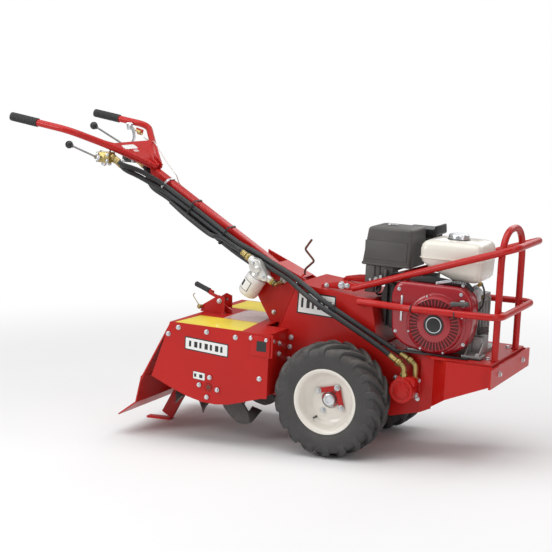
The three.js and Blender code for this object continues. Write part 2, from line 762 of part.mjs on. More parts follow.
// Two cheeks under a top plate that hold the handle on the housing, with the pivot pin and the
// lock rod's guide.
function handleBracket() {
  const offset = 0.6;
  const base = HOOD_TOP_Z + offset;
  const [rearTop, frontTop] = [[-398, 663], [-212, 586]];
  const cheek = [
    rearTop, frontTop, [-200, 579 + offset], [-197.8, 577],
    [-259, 410.5 + offset], [-336, base], [-392, 503],
  ];
  const cheeks = unite(prism(cheek, -48, -42), prism(cheek, 42, 48));
  const cover = foldedSheet([[-318, 629.9], frontTop], 5, -46, 46);
  const foot = box(-336, -272, -48, 48, base, base + 7);
  const guide = box(-242, -212, -43, 43, 572, 578);
  const rodBore = rod([-226, 0, 560], [-226, 0, 620], 4.8, 10);
  const pin = crossCylinder(PIVOT.x, PIVOT.y, 8, -54, 54, 12);
  return unite(cheeks, cover, foot, guide, pin).subtract(rodBore);
}

function lockRod() {
  return bentBar([
    [-226, 0, 556], [-226, 0, 610], [-190, 0, 644], [-230, 0, 684], [-204, 0, 722],
  ], 4, 8, 8);
}

// V of two bars under a gusset plate, bent out and back to the grips.
const BAR_LINE = [[-862, -16, 939], [-981, -165, 1019], [-1074, -GRIP_Y, 1072.7], [-1322, -GRIP_Y, 1108]];

function handlebar() {
  const bar = bentBar(BAR_LINE, BAR_R, 48, 10);
  const slope = Math.atan2(BAR_LINE[1][2] - BAR_LINE[0][2], BAR_LINE[0][0] - BAR_LINE[1][0]);
  const corners = [
    [4, -30], [4, 30], [-142, 176], [-158, 176], [-134, 128], [-134, -128], [-158, -176], [-142, -176],
  ];
  const plan = new THREE.Shape(corners.map(([x, y]) => new THREE.Vector2(x, y)));
  const plate = new THREE.ExtrudeGeometry(plan, { depth: 5, bevelEnabled: false });
  plate.rotateY(slope);
  plate.translate(-862, 0, 946);
  const columnRoom = prism(columnOutline(COLUMN_SIZE / 2 + GAP, COLUMN_START.x - GAP, -700), -23, 23);
  return unite(bar, mirrored(bar), solid(plate)).subtract(columnRoom);
}

function grip() {
  const start = new THREE.Vector3(-1210, -GRIP_Y, 1092.1);
  const end = new THREE.Vector3(-1326, -GRIP_Y, 1108.6);
  const past = end.clone().add(end.clone().sub(start).normalize().multiplyScalar(4));
  const sleeve = rod(start.toArray(), past.toArray(), 17, 12);
  const from = start.clone().sub(end.clone().sub(start).normalize().multiplyScalar(4));
  return sleeve.subtract(rod(from.toArray(), end.toArray(), BAR_R + GAP + 0.3, 12));
}

function tineValve() {
  return unite(
    box(-1030, -966, -176, -128, 954, 992),
    rod([-968, -160, 981], [-940, -160, 964], 9, 8),
    rod([-970, -140, 968], [-936, -140, 944], 9, 8),
  );
}

function driveValve() {
  return unite(
    box(-1004, -940, -24, 24, 948, 984),
    rod([-942, 12, 974], [-916, 12, 953], 9, 8),
    rod([-944, -12, 962], [-914, -12, 938], 9, 8),
  );
}

// A thin rod with a ball knob, on a small eye.
function controlLever(eye, tip) {
  const ball = new THREE.SphereGeometry(15, 14, 9);
  ball.translate(...tip);
  const boss = crossCylinder(eye[0], eye[2], 7, eye[1] - 5, eye[1] + 5, 10);
  return unite(boss, rod(eye, tip, 3, 8), solid(ball));
}

// Flat safety lever hung under the left handlebar.
function stopLever() {
  const top = [-1150, 258, 1076];
  return unite(
    rod(top, [-1150, 274, 1076], 8, 10),
    rod([-1150, 262, 1076], [-1112, 214, 1012], 6, 6),
    rod([-1112, 214, 1012], [-1096, 190, 1006], 6, 6),
  );
}

// Four hoses strapped along the near side of the column, from the two valves to the pivot.
function handleHoses() {
  const ways = [
    [
      [-937.5, -160, 962.5], [-918, -157, 950], byColumn(-876, -100, 4), byColumn(-816, -38, -6),
      byColumn(-760, -32, -5), byColumn(-600, -31, -5), byColumn(-510, -33, -2), byColumn(-450, -44, 6),
      byColumn(-404, -64, 16), byColumn(-350, -72, 22), byColumn(-302, -84, 32),
    ],
    [
      [-934, -140, 942.6], [-916, -136, 929], byColumn(-884, -88, -22), byColumn(-822, -40, -26),
      byColumn(-760, -32, -25), byColumn(-600, -31, -24), byColumn(-510, -34, -22),
      byColumn(-450, -46, -15), byColumn(-404, -68, -5), byColumn(-350, -76, 3), byColumn(-306, -88, 12),
    ],
    [
      [-912, -12, 936.4], [-900, -13, 924], byColumn(-866, -26, -45), byColumn(-780, -29, -45),
      byColumn(-600, -29, -42), byColumn(-330, -29, -36),
    ],
    [
      [-914, 12, 951.4], [-903, 13, 939], [-894, 12, 912], byColumn(-864, 6, -38), byColumn(-780, -4, -34),
      byColumn(-600, -6, -31), byColumn(-330, -6, -31),
    ],
  ];
  const hoses = ways.map((way) => tube(way, HOSE_R, way.length * 2 + 2, 6));
  const side = COLUMN_SIZE / 2 + GAP;
  const columnRoom = prism(columnOutline(side, -860, -300), -side, 60);
  const straps = [-760, -520].map((x) => {
    const strap = prism(columnOutline(27, x - 7, x + 7), -42, 8);
    return strap.translate([0, 0, -26 / COLUMN_UP.y]).subtract(columnRoom);
  });
  return unite(...hoses, ...straps);
}

// The two drive hoses on their way past the housing to the wheel motor, joined by one clamp.
function motorHoses() {
  const upper = [
    byColumn(-290, -88, 34), [-238, -124, 628], [-180, -154, 614], [-16, -168, 526], [110, -166, 458],
    [204, -160, 392], [246, -158, 346], [254, -158, 314],
  ];
  const lower = [
    byColumn(-292, -94, 14), [-246, -126, 611], [-186, -156, 590], [-16, -172, 490], [92, -176, 430],
    [180, -184, 376], [224, -186, 336], [230, -186, 310],
  ];
  const clamp = box(-42, -26, -178, -164, 494, 530);
  return unite(tube(upper, HOSE_R, 22, 6), tube(lower, HOSE_R, 22, 6), clamp);
}

piece('handle_bracket', handleBracket(), RED);
piece('handle_column', handleColumn(), RED);
piece('handle_lock_rod', lockRod(), STEEL);
piece('handlebar', handlebar(), RED);
piece('grip_right', grip(), RUBBER);
piece('grip_left', mirrored(grip()), RUBBER);
piece('tine_valve', tineValve(), BRASS);
piece('drive_valve', driveValve(), STEEL);
piece('tine_lever', controlLever([-1038.5, -152, 970], [-1161, -152, 1009]), STEEL);
piece('drive_lever', controlLever([-986, 0, 1000], [-1149, 0, 1077]), STEEL);
piece('stop_lever', stopLever(), STEEL);
piece('handle_hoses', handleHoses(), RUBBER);
piece('motor_hoses', motorHoses(), RUBBER);

// ---------------------------------------------------------------- hydraulic filter

function alongFilter(up) {
  const foot = new THREE.Vector2(-417, 507);
  const at = foot.addScaledVector(COLUMN_UP, up);
  return [at.x, -88, at.y];
}

piece('filter_canister', rod(alongFilter(0), alongFilter(82), 38, 24), IVORY);
piece('filter_head', rod(alongFilter(82 + GAP), alongFilter(102), 34, 16), ALLOY);

// ---------------------------------------------------------------- assembly

level.position.z = -AXLE_Z;
const pitched = new THREE.Group();
pitched.rotation.y = PITCH;
pitched.position.z = AXLE_Z;
pitched.add(level);
const tiller = new THREE.Group();
tiller.add(pitched);

// The row frame's origin is the middle of the machine's footprint.
const extent = new THREE.Box3().setFromObject(tiller, true);
pitched.position.x = -(extent.min.x + extent.max.x) / 2;
tiller.updateMatrixWorld(true);

export default tiller;
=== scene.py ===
"""Looks of a walk-behind rear-tine tiller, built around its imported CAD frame.

Shapes are drawn in the level machine frame, in millimetres: x forward, y to the left, z up, with the
origin on the ground under the axle. LEVEL carries them into the row frame, where the body is pitched
nose-down about the axle.
"""
import json
import math

import bmesh
import bpy
from mathutils import Matrix, Vector


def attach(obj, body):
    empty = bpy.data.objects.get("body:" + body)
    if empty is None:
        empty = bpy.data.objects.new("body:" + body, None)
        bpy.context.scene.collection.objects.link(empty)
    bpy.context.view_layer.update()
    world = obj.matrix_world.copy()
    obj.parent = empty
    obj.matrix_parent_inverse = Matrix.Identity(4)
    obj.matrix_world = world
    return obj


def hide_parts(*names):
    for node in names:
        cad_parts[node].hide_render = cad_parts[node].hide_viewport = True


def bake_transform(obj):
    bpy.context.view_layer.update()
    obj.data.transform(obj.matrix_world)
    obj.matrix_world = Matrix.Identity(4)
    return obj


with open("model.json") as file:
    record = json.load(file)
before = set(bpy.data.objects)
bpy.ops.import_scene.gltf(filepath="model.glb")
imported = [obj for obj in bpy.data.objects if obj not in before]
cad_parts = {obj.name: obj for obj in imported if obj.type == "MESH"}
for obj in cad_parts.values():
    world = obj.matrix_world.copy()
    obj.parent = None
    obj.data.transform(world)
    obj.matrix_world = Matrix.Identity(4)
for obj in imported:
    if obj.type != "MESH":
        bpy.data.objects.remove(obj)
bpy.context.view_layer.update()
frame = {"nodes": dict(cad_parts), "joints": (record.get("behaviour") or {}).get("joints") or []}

NODES = frame["nodes"]
JOINTS = {joint["name"]: joint for joint in frame["joints"]}
X, Y, Z = Vector((1, 0, 0)), Vector((0, 1, 0)), Vector((0, 0, 1))

MM = 0.001
_lift = JOINTS["lock_rod_lift"]["axis"]
PITCH = math.atan2(_lift[0], _lift[2])
_axle = Vector(JOINTS["wheel_spin"]["pos_m"])
AXLE_Z = _axle.z / MM
LEVEL = (
    Matrix.Translation(_axle) @ Matrix.Rotation(PITCH, 4, "Y") @ Matrix.Scale(MM, 4)
    @ Matrix.Translation((0, 0, -AXLE_Z))
)
TO_LEVEL = LEVEL.inverted()


def room(*nodes):
    """Lowest and highest corner of CAD nodes in the level machine frame, in millimetres."""
    points = [TO_LEVEL @ vertex.co for node in nodes for vertex in NODES[node].data.vertices]
    low = Vector([min(point[k] for point in points) for k in range(3)])
    high = Vector([max(point[k] for point in points) for k in range(3)])
    return low, high


def pivot(joint):
    """A hinge's point in the level machine frame, in millimetres."""
    return TO_LEVEL @ Vector(JOINTS[joint]["pos_m"])


# ---------------------------------------------------------------- mesh building

def frame_of(axis):
    """Two unit vectors square to axis and to each other."""
    axis = Vector(axis).normalized()
    helper = Z if abs(axis.z) < 0.9 else X
    side = axis.cross(helper).normalized()
    return side, side.cross(axis).normalized()


def circle(centre, axis, radius, sides):
    side, up = frame_of(axis)
    angles = [2 * math.pi * k / sides for k in range(sides)]
    return [Vector(centre) + radius * (math.cos(a) * side + math.sin(a) * up) for a in angles]


def arc(cx, cz, radius, start, end, steps):
    """Points of an arc in a plane, with angles in degrees."""
    angles = [math.radians(start + (end - start) * k / steps) for k in range(steps + 1)]
    return [(cx + radius * math.cos(a), cz + radius * math.sin(a)) for a in angles]


def rect(x0, y0, x1, y1):
    """Corners of a rectangle from one corner to the opposite one."""
    return [(x0, y0), (x1, y0), (x1, y1), (x0, y1)]


def rounded(points, radius, steps=4):
    """A closed outline of 2-D points with its corners rounded."""
    out = []
    count = len(points)
    for k, point in enumerate(points):
        here = Vector(point)
        before = Vector(points[k - 1]) - here
        after = Vector(points[(k + 1) % count]) - here
        reach = min(radius, before.length * 0.45, after.length * 0.45)
        start = here + before.normalized() * reach
        end = here + after.normalized() * reach
        for step in range(steps + 1):
            t = step / steps
            out.append(tuple(start * (1 - t) ** 2 + here * 2 * t * (1 - t) + end * t ** 2))
    return out


def bent(points, radius, steps=6):
    """An open 3-D line with its inner corners rounded."""
    points = [Vector(point) for point in points]
    out = [points[0]]
    for before, here, after in zip(points, points[1:], points[2:]):
        back, ahead = before - here, after - here
        reach = min(radius, back.length * 0.48, ahead.length * 0.48)
        start, end = here + back.normalized() * reach, here + ahead.normalized() * reach
        for step in range(steps + 1):
            t = step / steps
            out.append(start * (1 - t) ** 2 + here * 2 * t * (1 - t) + end * t ** 2)
    return out + [points[-1]]


def flowing(points, steps=8):
    """A smooth line through 3-D points."""
    points = [Vector(point) for point in points]
    ends = [2 * points[0] - points[1]] + points + [2 * points[-1] - points[-2]]
    out = []
    for a, b, c, d in zip(ends, ends[1:], ends[2:], ends[3:]):
        for step in range(steps):
            t = step / steps
            out.append(0.5 * (2 * b + (c - a) * t + (2 * a - 5 * b + 4 * c - d) * t ** 2
                + (3 * b - 3 * c + d - a) * t ** 3))
    return out + [points[-1]]


class Form:
    """A mesh under construction, in level machine millimetres."""

    def __init__(self):
        self.mesh = bmesh.new()

    def loft(self, rings, caps=True, loop=False):
        """Skins a row of closed rings; caps closes the two ends, loop joins the last ring to the first."""
        rows = [[self.mesh.verts.new(point) for point in ring] for ring in rings]
        pairs = list(zip(rows, rows[1:])) + ([(rows[-1], rows[0])] if loop else [])
        for low, high in pairs:
            for k in range(len(low)):
                following = (k + 1) % len(low)
                self.mesh.faces.new((low[k], low[following], high[following], high[k]))
        if caps and not loop:
            self.mesh.faces.new(rows[0])
            self.mesh.faces.new(rows[-1])
        return self

    def lathe(self, profile, centre, axis=Y, sides=48, loop=False):
        """Turns (radius, distance along axis) pairs about an axis; loop closes the profile on itself."""
        axis = Vector(axis).normalized()
        rings = [circle(Vector(centre) + axis * along, axis, radius, sides) for radius, along in profile]
        return self.loft(rings, loop=loop)

    def plate(self, outline, start, end, across=Y):
        """An outline drawn square to an axis, thickened along it: (x, z) pairs for y, (x, y) for z."""
        if across == Y:
            rings = [[Vector((a, level, b)) for a, b in outline] for level in (start, end)]
        elif across == Z:
            rings = [[Vector((a, b, level)) for a, b in outline] for level in (start, end)]
        else:
            rings = [[Vector((level, a, b)) for a, b in outline] for level in (start, end)]
        return self.loft(rings)

    def sheet(self, corners, thickness):
        """A flat plate on any plane, thickened along its own normal."""
        corners = [Vector(corner) for corner in corners]
        normal = (corners[1] - corners[0]).cross(corners[2] - corners[1]).normalized()
        return self.loft([corners, [corner + normal * thickness for corner in corners]])

    def block(self, low, high, corner=0.0):
        """A box with rounded upright edges."""
        outline = rect(low[0], low[1], high[0], high[1])
        return self.plate(rounded(outline, corner) if corner else outline, low[2], high[2], across=Z)

    def pipe(self, path, radius, sides=16, closed=False):
        """A round bar along a line; radius may be one number or one per point."""
        path = [Vector(point) for point in path]
        count = len(path)
        radii = radius if isinstance(radius, (list, tuple)) else [radius] * count
        if closed:
            tangents = [(path[(k + 1) % count] - path[k - 1]).normalized() for k in range(count)]
        else:
            tangents = [(path[min(k + 1, count - 1)] - path[max(k - 1, 0)]).normalized()
                for k in range(count)]
        side, up = frame_of(tangents[0])
        rings = []
        for k, point in enumerate(path):
            if k:
                turn = tangents[k - 1].rotation_difference(tangents[k])
                side = turn @ side
                up = turn @ up
            rings.append([point + radii[k] * (math.cos(a) * side + math.sin(a) * up)
                for a in (2 * math.pi * n / sides for n in range(sides))])
        return self.loft(rings, loop=closed)

    def bolt(self, centre, normal, size, washer=True):
        """A hexagon head on a washer, standing out along normal; size is the head's width."""
        centre, normal = Vector(centre), Vector(normal).normalized()
        base = 0.0
        if washer:
            base = size * 0.14
            self.lathe([(size * 0.2, -0.5), (size * 0.72, -0.5), (size * 0.74, base * 0.7),
                (size * 0.68, base), (size * 0.2, base)], centre, normal, 24)
        levels = [(0.5, base), (0.5, base + size * 0.42), (0.44, base + size * 0.5),
            (0.2, base + size * 0.52)]
        rings = [circle(centre + normal * along, normal, size * wide * 1.12, 6) for wide, along in levels]
        return self.loft(rings)

    def mirrored(self):
        """Adds the same shapes on the other side of the machine."""
        twin = bmesh.ops.duplicate(self.mesh, geom=self.mesh.verts[:] + self.mesh.edges[:]
            + self.mesh.faces[:])
        for element in twin["geom"]:
            if isinstance(element, bmesh.types.BMVert):
                element.co.y = -element.co.y
        return self


SMOOTH_BELOW, BEVEL_ABOVE = 34, 38      # degrees between faces: shaded as one, or given a softened edge


def smooth_group():
    """Geometry nodes that shade a mesh smooth except along its sharp edges."""
    group = bpy.data.node_groups.new("smooth_by_angle", "GeometryNodeTree")
    group.interface.new_socket("Geometry", in_out="INPUT", socket_type="NodeSocketGeometry")
    angle = group.interface.new_socket("Angle", in_out="INPUT", socket_type="NodeSocketFloat")
    angle.default_value = math.radians(SMOOTH_BELOW)
    group.interface.new_socket("Geometry", in_out="OUTPUT", socket_type="NodeSocketGeometry")
    start, end = group.nodes.new("NodeGroupInput"), group.nodes.new("NodeGroupOutput")
    edge = group.nodes.new("GeometryNodeInputMeshEdgeAngle")
    compare = group.nodes.new("FunctionNodeCompare")
    compare.operation = "LESS_EQUAL"
    faces = group.nodes.new("GeometryNodeSetShadeSmooth")
    edges = group.nodes.new("GeometryNodeSetShadeSmooth")
    faces.domain, edges.domain = "FACE", "EDGE"
    link = group.links.new
    link(edge.outputs["Unsigned Angle"], compare.inputs["A"])
    link(start.outputs["Angle"], compare.inputs["B"])
    link(start.outputs["Geometry"], faces.inputs["Geometry"])
    link(faces.outputs["Geometry"], edges.inputs["Geometry"])
    link(compare.outputs["Result"], edges.inputs["Shade Smooth"])
    link(edges.outputs["Geometry"], end.inputs["Geometry"])
    return group


SMOOTH = smooth_group()


def dress(obj, material, bevel=0.0):
    """Gives an object its material, softened edges and smooth shading."""
    obj.data.materials.clear()
    obj.data.materials.append(material)
    if bevel:
        edge = obj.modifiers.new("edge", "BEVEL")
        edge.width = bevel * MM
        edge.segments = 2
        edge.limit_method = "ANGLE"
        edge.angle_limit = math.radians(BEVEL_ABOVE)
    shade = obj.modifiers.new("shade", "NODES")
    shade.node_group = SMOOTH
    return obj


def piece(name, form, material, body="chassis", stands_for=(), bevel=0.0):
    """Makes a Form into a named object, which may ride on a CAD body and stand for CAD nodes."""
    bmesh.ops.recalc_face_normals(form.mesh, faces=form.mesh.faces[:])
    form.mesh.transform(LEVEL)
    mesh = bpy.data.meshes.new(name)
    form.mesh.to_mesh(mesh)
    form.mesh.free()
    obj = bpy.data.objects.new(name, mesh)
    bpy.context.scene.collection.objects.link(obj)
    dress(obj, material, bevel)
    if body:
        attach(obj, body)
    if stands_for:
        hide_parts(*stands_for)
    return obj


# ---------------------------------------------------------------- materials

DUST = (0.36, 0.32, 0.27, 1)
WEAR_REACH = 0.0022         # metres in from an edge


def finish(name, colour, rough, metal=0.0, vary=0.08, patch=7.0, grain=500.0, bump=0.03, coat=0.0,
        gleam=0.5, stretch=(1, 1, 1), wear=None, dust=0.0):
    """A procedural surface: drifting colour, fine grain in roughness and bump, worn edges, settled dust.

    patch and grain are the noise scales per metre, bump is in millimetres, wear is the colour under the
    edges, and dust is how much pale dust lies on what faces up.
    """
    material = bpy.data.materials.new(name)
    material.use_nodes = True
    nodes, link = material.node_tree.nodes, material.node_tree.links.new
    shader = nodes["Principled BSDF"]
    shader.inputs["Metallic"].default_value = metal
    shader.inputs["Coat Weight"].default_value = coat
    shader.inputs["Coat Roughness"].default_value = 0.08
    shader.inputs["Specular IOR Level"].default_value = gleam

    place = nodes.new("ShaderNodeTexCoord").outputs["Object"]
    stretched = nodes.new("ShaderNodeVectorMath")
    stretched.operation = "MULTIPLY"
    stretched.inputs[1].default_value = stretch
    link(place, stretched.inputs[0])

    def noise(where, scale, detail):
        node = nodes.new("ShaderNodeTexNoise")
        node.inputs["Scale"].default_value = scale
        node.inputs["Detail"].default_value = detail
        link(where, node.inputs["Vector"])
        return node.outputs["Fac"]

    def blend(factor, first, second):
        node = nodes.new("ShaderNodeMix")
        node.data_type = "RGBA"
        for socket, value in ((node.inputs[0], factor), (node.inputs[6], first), (node.inputs[7], second)):
            if isinstance(value, bpy.types.NodeSocket):
                link(value, socket)
            else:
                socket.default_value = value
        return node.outputs[2]

    def spread(value, low, high, out_low, out_high):
        node = nodes.new("ShaderNodeMapRange")
        link(value, node.inputs["Value"])
        for key, number in (("From Min", low), ("From Max", high), ("To Min", out_low), ("To Max", out_high)):
            node.inputs[key].default_value = number
        return node.outputs["Result"]

    def times(first, second):
        node = nodes.new("ShaderNodeMath")
        node.operation = "MULTIPLY"
        link(first, node.inputs[0])
        link(second, node.inputs[1])
        return node.outputs[0]

    patches = noise(place, patch, 5)
    fine = noise(stretched.outputs[0], grain, 3)
    dark = [max(0.0, c * (1 - vary)) for c in colour] + [1]
    light = [min(1.0, c * (1 + vary)) for c in colour] + [1]
    shade = blend(spread(patches, 0.35, 0.65, 0, 1), dark, light)
    shade = blend(spread(fine, 0.3, 0.7, 0, 0.35 * vary / 0.08), shade, dark)
    roughness = spread(patches, 0.3, 0.7, max(0.02, rough - 0.05), min(1, rough + 0.07))
    if dust:
        facing = nodes.new("ShaderNodeSeparateXYZ")
        link(nodes.new("ShaderNodeNewGeometry").outputs["Normal"], facing.inputs[0])
        cover = times(spread(facing.outputs["Z"], 0.1, 1, 0, dust),
            spread(noise(place, 30, 6), 0.4, 0.7, 0.3, 1))
        shade = blend(cover, shade, DUST)
    if wear:
        soft = nodes.new("ShaderNodeBevel")
        soft.samples = 4
        soft.inputs["Radius"].default_value = WEAR_REACH
        product = nodes.new("ShaderNodeVectorMath")
        product.operation = "DOT_PRODUCT"
        link(soft.outputs["Normal"], product.inputs[0])
        link(nodes.new("ShaderNodeNewGeometry").outputs["Normal"], product.inputs[1])
        rub = times(spread(product.outputs["Value"], 0.985, 0.90, 0, 1),
            spread(noise(place, 60, 6), 0.5, 0.66, 0, 0.8))
        shade = blend(rub, shade, tuple(wear) + (1,))
    link(shade, shader.inputs["Base Color"])
    link(roughness, shader.inputs["Roughness"])
    height = nodes.new("ShaderNodeBump")
    height.inputs["Strength"].default_value = 1.0
    height.inputs["Distance"].default_value = bump * MM
    link(fine, height.inputs["Height"])
    link(height.outputs["Normal"], shader.inputs["Normal"])
    return material


RED = finish("red_enamel", (0.48, 0.009, 0.006), 0.36, coat=0.06, gleam=0.3, vary=0.07, patch=5, grain=260,
    bump=0.003, wear=(0.22, 0.02, 0.02))
TUBE_RED = finish("red_tube_enamel", (0.48, 0.008, 0.006), 0.34, coat=0.1, gleam=0.35, vary=0.06,
    grain=300, bump=0.0006)
COVER_RED = finish("engine_red", (0.34, 0.006, 0.014), 0.25, coat=0.5, vary=0.06, grain=300, bump=0.003)
TYRE = finish("tyre_rubber", (0.060, 0.058, 0.057), 0.62, vary=0.25, patch=14, grain=420, bump=0.06,
    dust=0.22)
RIM = finish("rim_enamel", (0.80, 0.76, 0.69), 0.3, coat=0.3, vary=0.03, patch=10, grain=240, bump=0.015,
    dust=0.05)
HOSE = finish("hose_rubber", (0.022, 0.023, 0.025), 0.42, vary=0.25, patch=25, grain=900, bump=0.05)
GRIP = finish("grip_rubber", (0.028, 0.027, 0.028), 0.6, vary=0.2, patch=40, grain=900, bump=0.06)
PLASTIC = finish("black_plastic", (0.078, 0.073, 0.069), 0.5, vary=0.16, patch=12, grain=700, bump=0.05,
    dust=0.10)
BLACK = finish("black_enamel", (0.02, 0.02, 0.021), 0.35, vary=0.15, patch=12, grain=500, bump=0.02)
IVORY = finish("tank_ivory", (0.79, 0.75, 0.67), 0.24, coat=0.4, vary=0.03, patch=6, grain=220, bump=0.02)
ZINC = finish("zinc_plate", (0.66, 0.68, 0.70), 0.3, metal=0.85, vary=0.12, patch=60, grain=700, bump=0.02)
STEEL = finish("turned_steel", (0.50, 0.49, 0.47), 0.36, metal=0.9, vary=0.14, patch=30, grain=600,
    bump=0.02, stretch=(1, 6, 1))
YELLOW_ZINC = finish("yellow_zinc", (0.50, 0.39, 0.15), 0.34, metal=0.8, vary=0.22, patch=70, grain=700,
    bump=0.02)
CAST = finish("cast_alloy", (0.36, 0.36, 0.35), 0.5, metal=0.75, vary=0.14, patch=16, grain=420, bump=0.12)
# Dark cast metal; on the engine cylinder it is painted shade, standing for the shadow between the shroud and
# the frame.
DARK_CAST_AND_SHADE = finish("dark_cast_and_painted_shade", (0.07, 0.068, 0.066), 0.5, metal=0.5, vary=0.2, patch=20, grain=420,
    bump=0.12)
TINE = finish("forged_steel", (0.12, 0.112, 0.108), 0.5, metal=0.6, vary=0.3, patch=18, grain=240,
    bump=0.15, wear=(0.30, 0.28, 0.26))
WHITE = finish("filter_enamel", (0.78, 0.77, 0.76), 0.28, coat=0.3, vary=0.02, patch=15, grain=400, bump=0.01)
FILTER_ALLOY = finish("filter_alloy", (0.70, 0.69, 0.66), 0.34, metal=0.55, vary=0.08, patch=30, grain=420,
    bump=0.05)
RUSTY = finish("rusty_rod", (0.20, 0.075, 0.05), 0.5, metal=0.5, vary=0.3, patch=40, grain=500, bump=0.05)
LABEL_WHITE = finish("label_white", (0.82, 0.82, 0.80), 0.38, vary=0.02, grain=300, bump=0.005)
LABEL_BLACK = finish("label_black", (0.015, 0.015, 0.016), 0.4, vary=0.1, grain=300, bump=0.005)
LABEL_YELLOW = finish("label_yellow", (0.90, 0.72, 0.05), 0.32, coat=0.2, vary=0.05, patch=9, grain=300,
    bump=0.006)
DULL_STEEL = finish("dull_steel", (0.20, 0.19, 0.185), 0.45, metal=0.8, vary=0.2, patch=40, grain=600,
    bump=0.03)
# Painted shade: a near-black red for the floor of the starter dome's slots, standing for the shade in that
# recess.
SLOT_SHADE_RED = finish("slot_floor_painted_shade", (0.10, 0.004, 0.006), 0.5, vary=0.1, grain=300, bump=0.003)
# Pale mauve grey: a small grey label on the handle gusset, and on the hood's middle strip a painted
# reflection of the white room on the gloss.
GREY_LABEL_AND_REFLECTION = finish("label_grey_and_painted_reflection", (0.66, 0.50, 0.48), 0.3, coat=0.3, vary=0.04, patch=9, grain=300,
    bump=0.006)


# ---------------------------------------------------------------- wheels

LUGS = 18               # tread bars on each side of a tyre
LUG_SWEEP = 21          # degrees that a bar leans back from the centre to the shoulder
NUT_CIRCLE = 50.8
CLAMP_NUTS = (150, 60, -30)


def at_angle(radius, degrees):
    return radius * math.cos(math.radians(degrees)), radius * math.sin(math.radians(degrees))


def capsule(start, end, half, steps=8):
    """Outline of a flat bar with round ends."""
    lean = math.degrees(math.atan2(end[1] - start[1], end[0] - start[0]))
    return arc(*end, half, lean - 90, lean + 90, steps) + arc(*start, half, lean + 90, lean + 270, steps)


def tyre(label):
    """A bar-lug tyre: a smooth casing with slanted bars that wrap over the shoulders."""
    low, high = room("tyre_" + label)
    centre = Vector((0, (low.y + high.y) / 2, AXLE_Z))
    reach = AXLE_Z
    half = (high.y - low.y) / 2
    outside = [(reach - 99, half - 17.5), (reach - 93, half - 12.5), (reach - 85, half - 8.5),
        (reach - 80, half - 8), (reach - 77, half - 6.3), (reach - 68, half - 3.6),
        (reach - 56, half - 1.6), (reach - 44, half - 1.2), (reach - 31, half - 3.6),
        (reach - 22, half - 10), (reach - 17, half - 24), (reach - 14.5, half - 46), (reach - 13.5, 0)]
    inside = [(reach - 23, 0), (reach - 26, half - 34), (reach - 52, half - 10), (reach - 84, half - 18),
        (reach - 99, half - 28)]
    section = outside + [(r, -y) for r, y in reversed(outside[:-1])]
    section += [(r, -y) for r, y in reversed(inside)] + inside[1:]
    form = Form().lathe(section, centre, Y, 96, loop=True)
    for ring_radius, ring_half in ((reach - 61, half - 2.6), (reach - 74, half - 5.6)):
        for hand in (-1, 1):
            rib = [(ring_radius - 1.6, ring_half - 2), (ring_radius, ring_half + 1.2),
                (ring_radius + 1.6, ring_half - 2)]
            form.lathe(rib, centre, Y * hand, 96, loop=True)

    crown = [(0.0, 2, reach - 0.2), (0.3, 30, reach - 0.4), (0.52, 50, reach - 3.5), (0.7, 65, reach - 10),
        (0.8, half - 2, reach - 21), (0.9, half - 0.3, reach - 33), (1.0, half - 1.2, reach - 47)]
    foot = [(2, reach - 16), (30, reach - 17), (50, reach - 20), (62, reach - 24), (66, reach - 30),
        (68, reach - 38), (69, reach - 48)]
    for number in range(LUGS):
        for hand in (-1, 1):
            turn = 360 / LUGS * (number + (0.25 if hand > 0 else 0.75))
            rings = []
            for (t, y, r), (foot_y, foot_r) in zip(crown, foot):
                lean = turn + LUG_SWEEP * min(t / 0.75, 1) ** 0.85
                wide, narrow = 15.5 + 3 * t, 8.5 + 4.5 * t
                if t > 0.85:
                    narrow *= 1.15 - 0.5 * (t - 0.85)
                ring = []
                for radius, level, offset in ((foot_r, foot_y, -wide), (r, y, -narrow), (r, y, narrow),
                        (foot_r, foot_y, wide)):
                    x, z = at_angle(radius, lean + math.degrees(offset / reach))
                    ring.append(centre + Vector((x, hand * level, z)))
                rings.append(ring)
            form.loft(rings)
    piece("tyre_lugged_" + label, form, TYRE, "wheels", ["tyre_" + label], bevel=2.2)


def rim(side, label):
    """A pressed wheel: rolled flanges, a stepped barrel and a dished disc."""
    low, high = room("rim_" + label)
    half = (high.y - low.y) / 2
    flange = (high.z - low.z) / 2
    face = room("drive_clamp_" + label)
    middle = (low.y + high.y) / 2
    disc = abs((face[1].y if side < 0 else face[0].y) - middle) - 0.4
    section = [(flange, half - 3), (flange - 0.4, half - 0.6), (flange - 3, half),
        (flange - 7, half - 1.2), (flange - 12, half - 4.5), (flange - 16, half - 10),
        (flange - 18, half - 19), (flange - 19.5, half - 30), (flange - 22, half - 38),
        (flange - 27, half - 45.5), (flange - 34, half - 51), (flange - 42, disc + 3),
        (flange - 47, disc + 1.6), (flange - 51, disc + 2.2), (flange - 55, disc + 1.4),
        (flange - 60, disc), (34, disc), (34, disc - 5), (flange - 58, disc - 5),
        (flange - 40, disc - 3.5), (flange - 28, disc - 4), (flange - 26.5, disc - 12),
        (flange - 26.5, disc - 22), (flange - 18, disc - 33), (flange - 17, 12 - half),
        (flange - 13.5, 6 - half), (flange - 8, 1.5 - half), (flange - 3, -half),
        (flange - 0.4, 0.6 - half), (flange, 3 - half), (flange - 8, 5 - half), (flange - 13.2, 10 - half),
        (flange - 13.8, 44 - half), (flange - 22.5, 54 - half), (flange - 22.5, disc + 1),
        (flange - 20, disc + 10), (flange - 15, disc + 22), (flange - 13.2, half - 10),
        (flange - 8, half - 5)]
    form = Form().lathe(section, (0, middle, AXLE_Z), Y * side, 96, loop=True)
    piece("rim_dished_" + label, form, RIM, "wheels", ["rim_" + label])


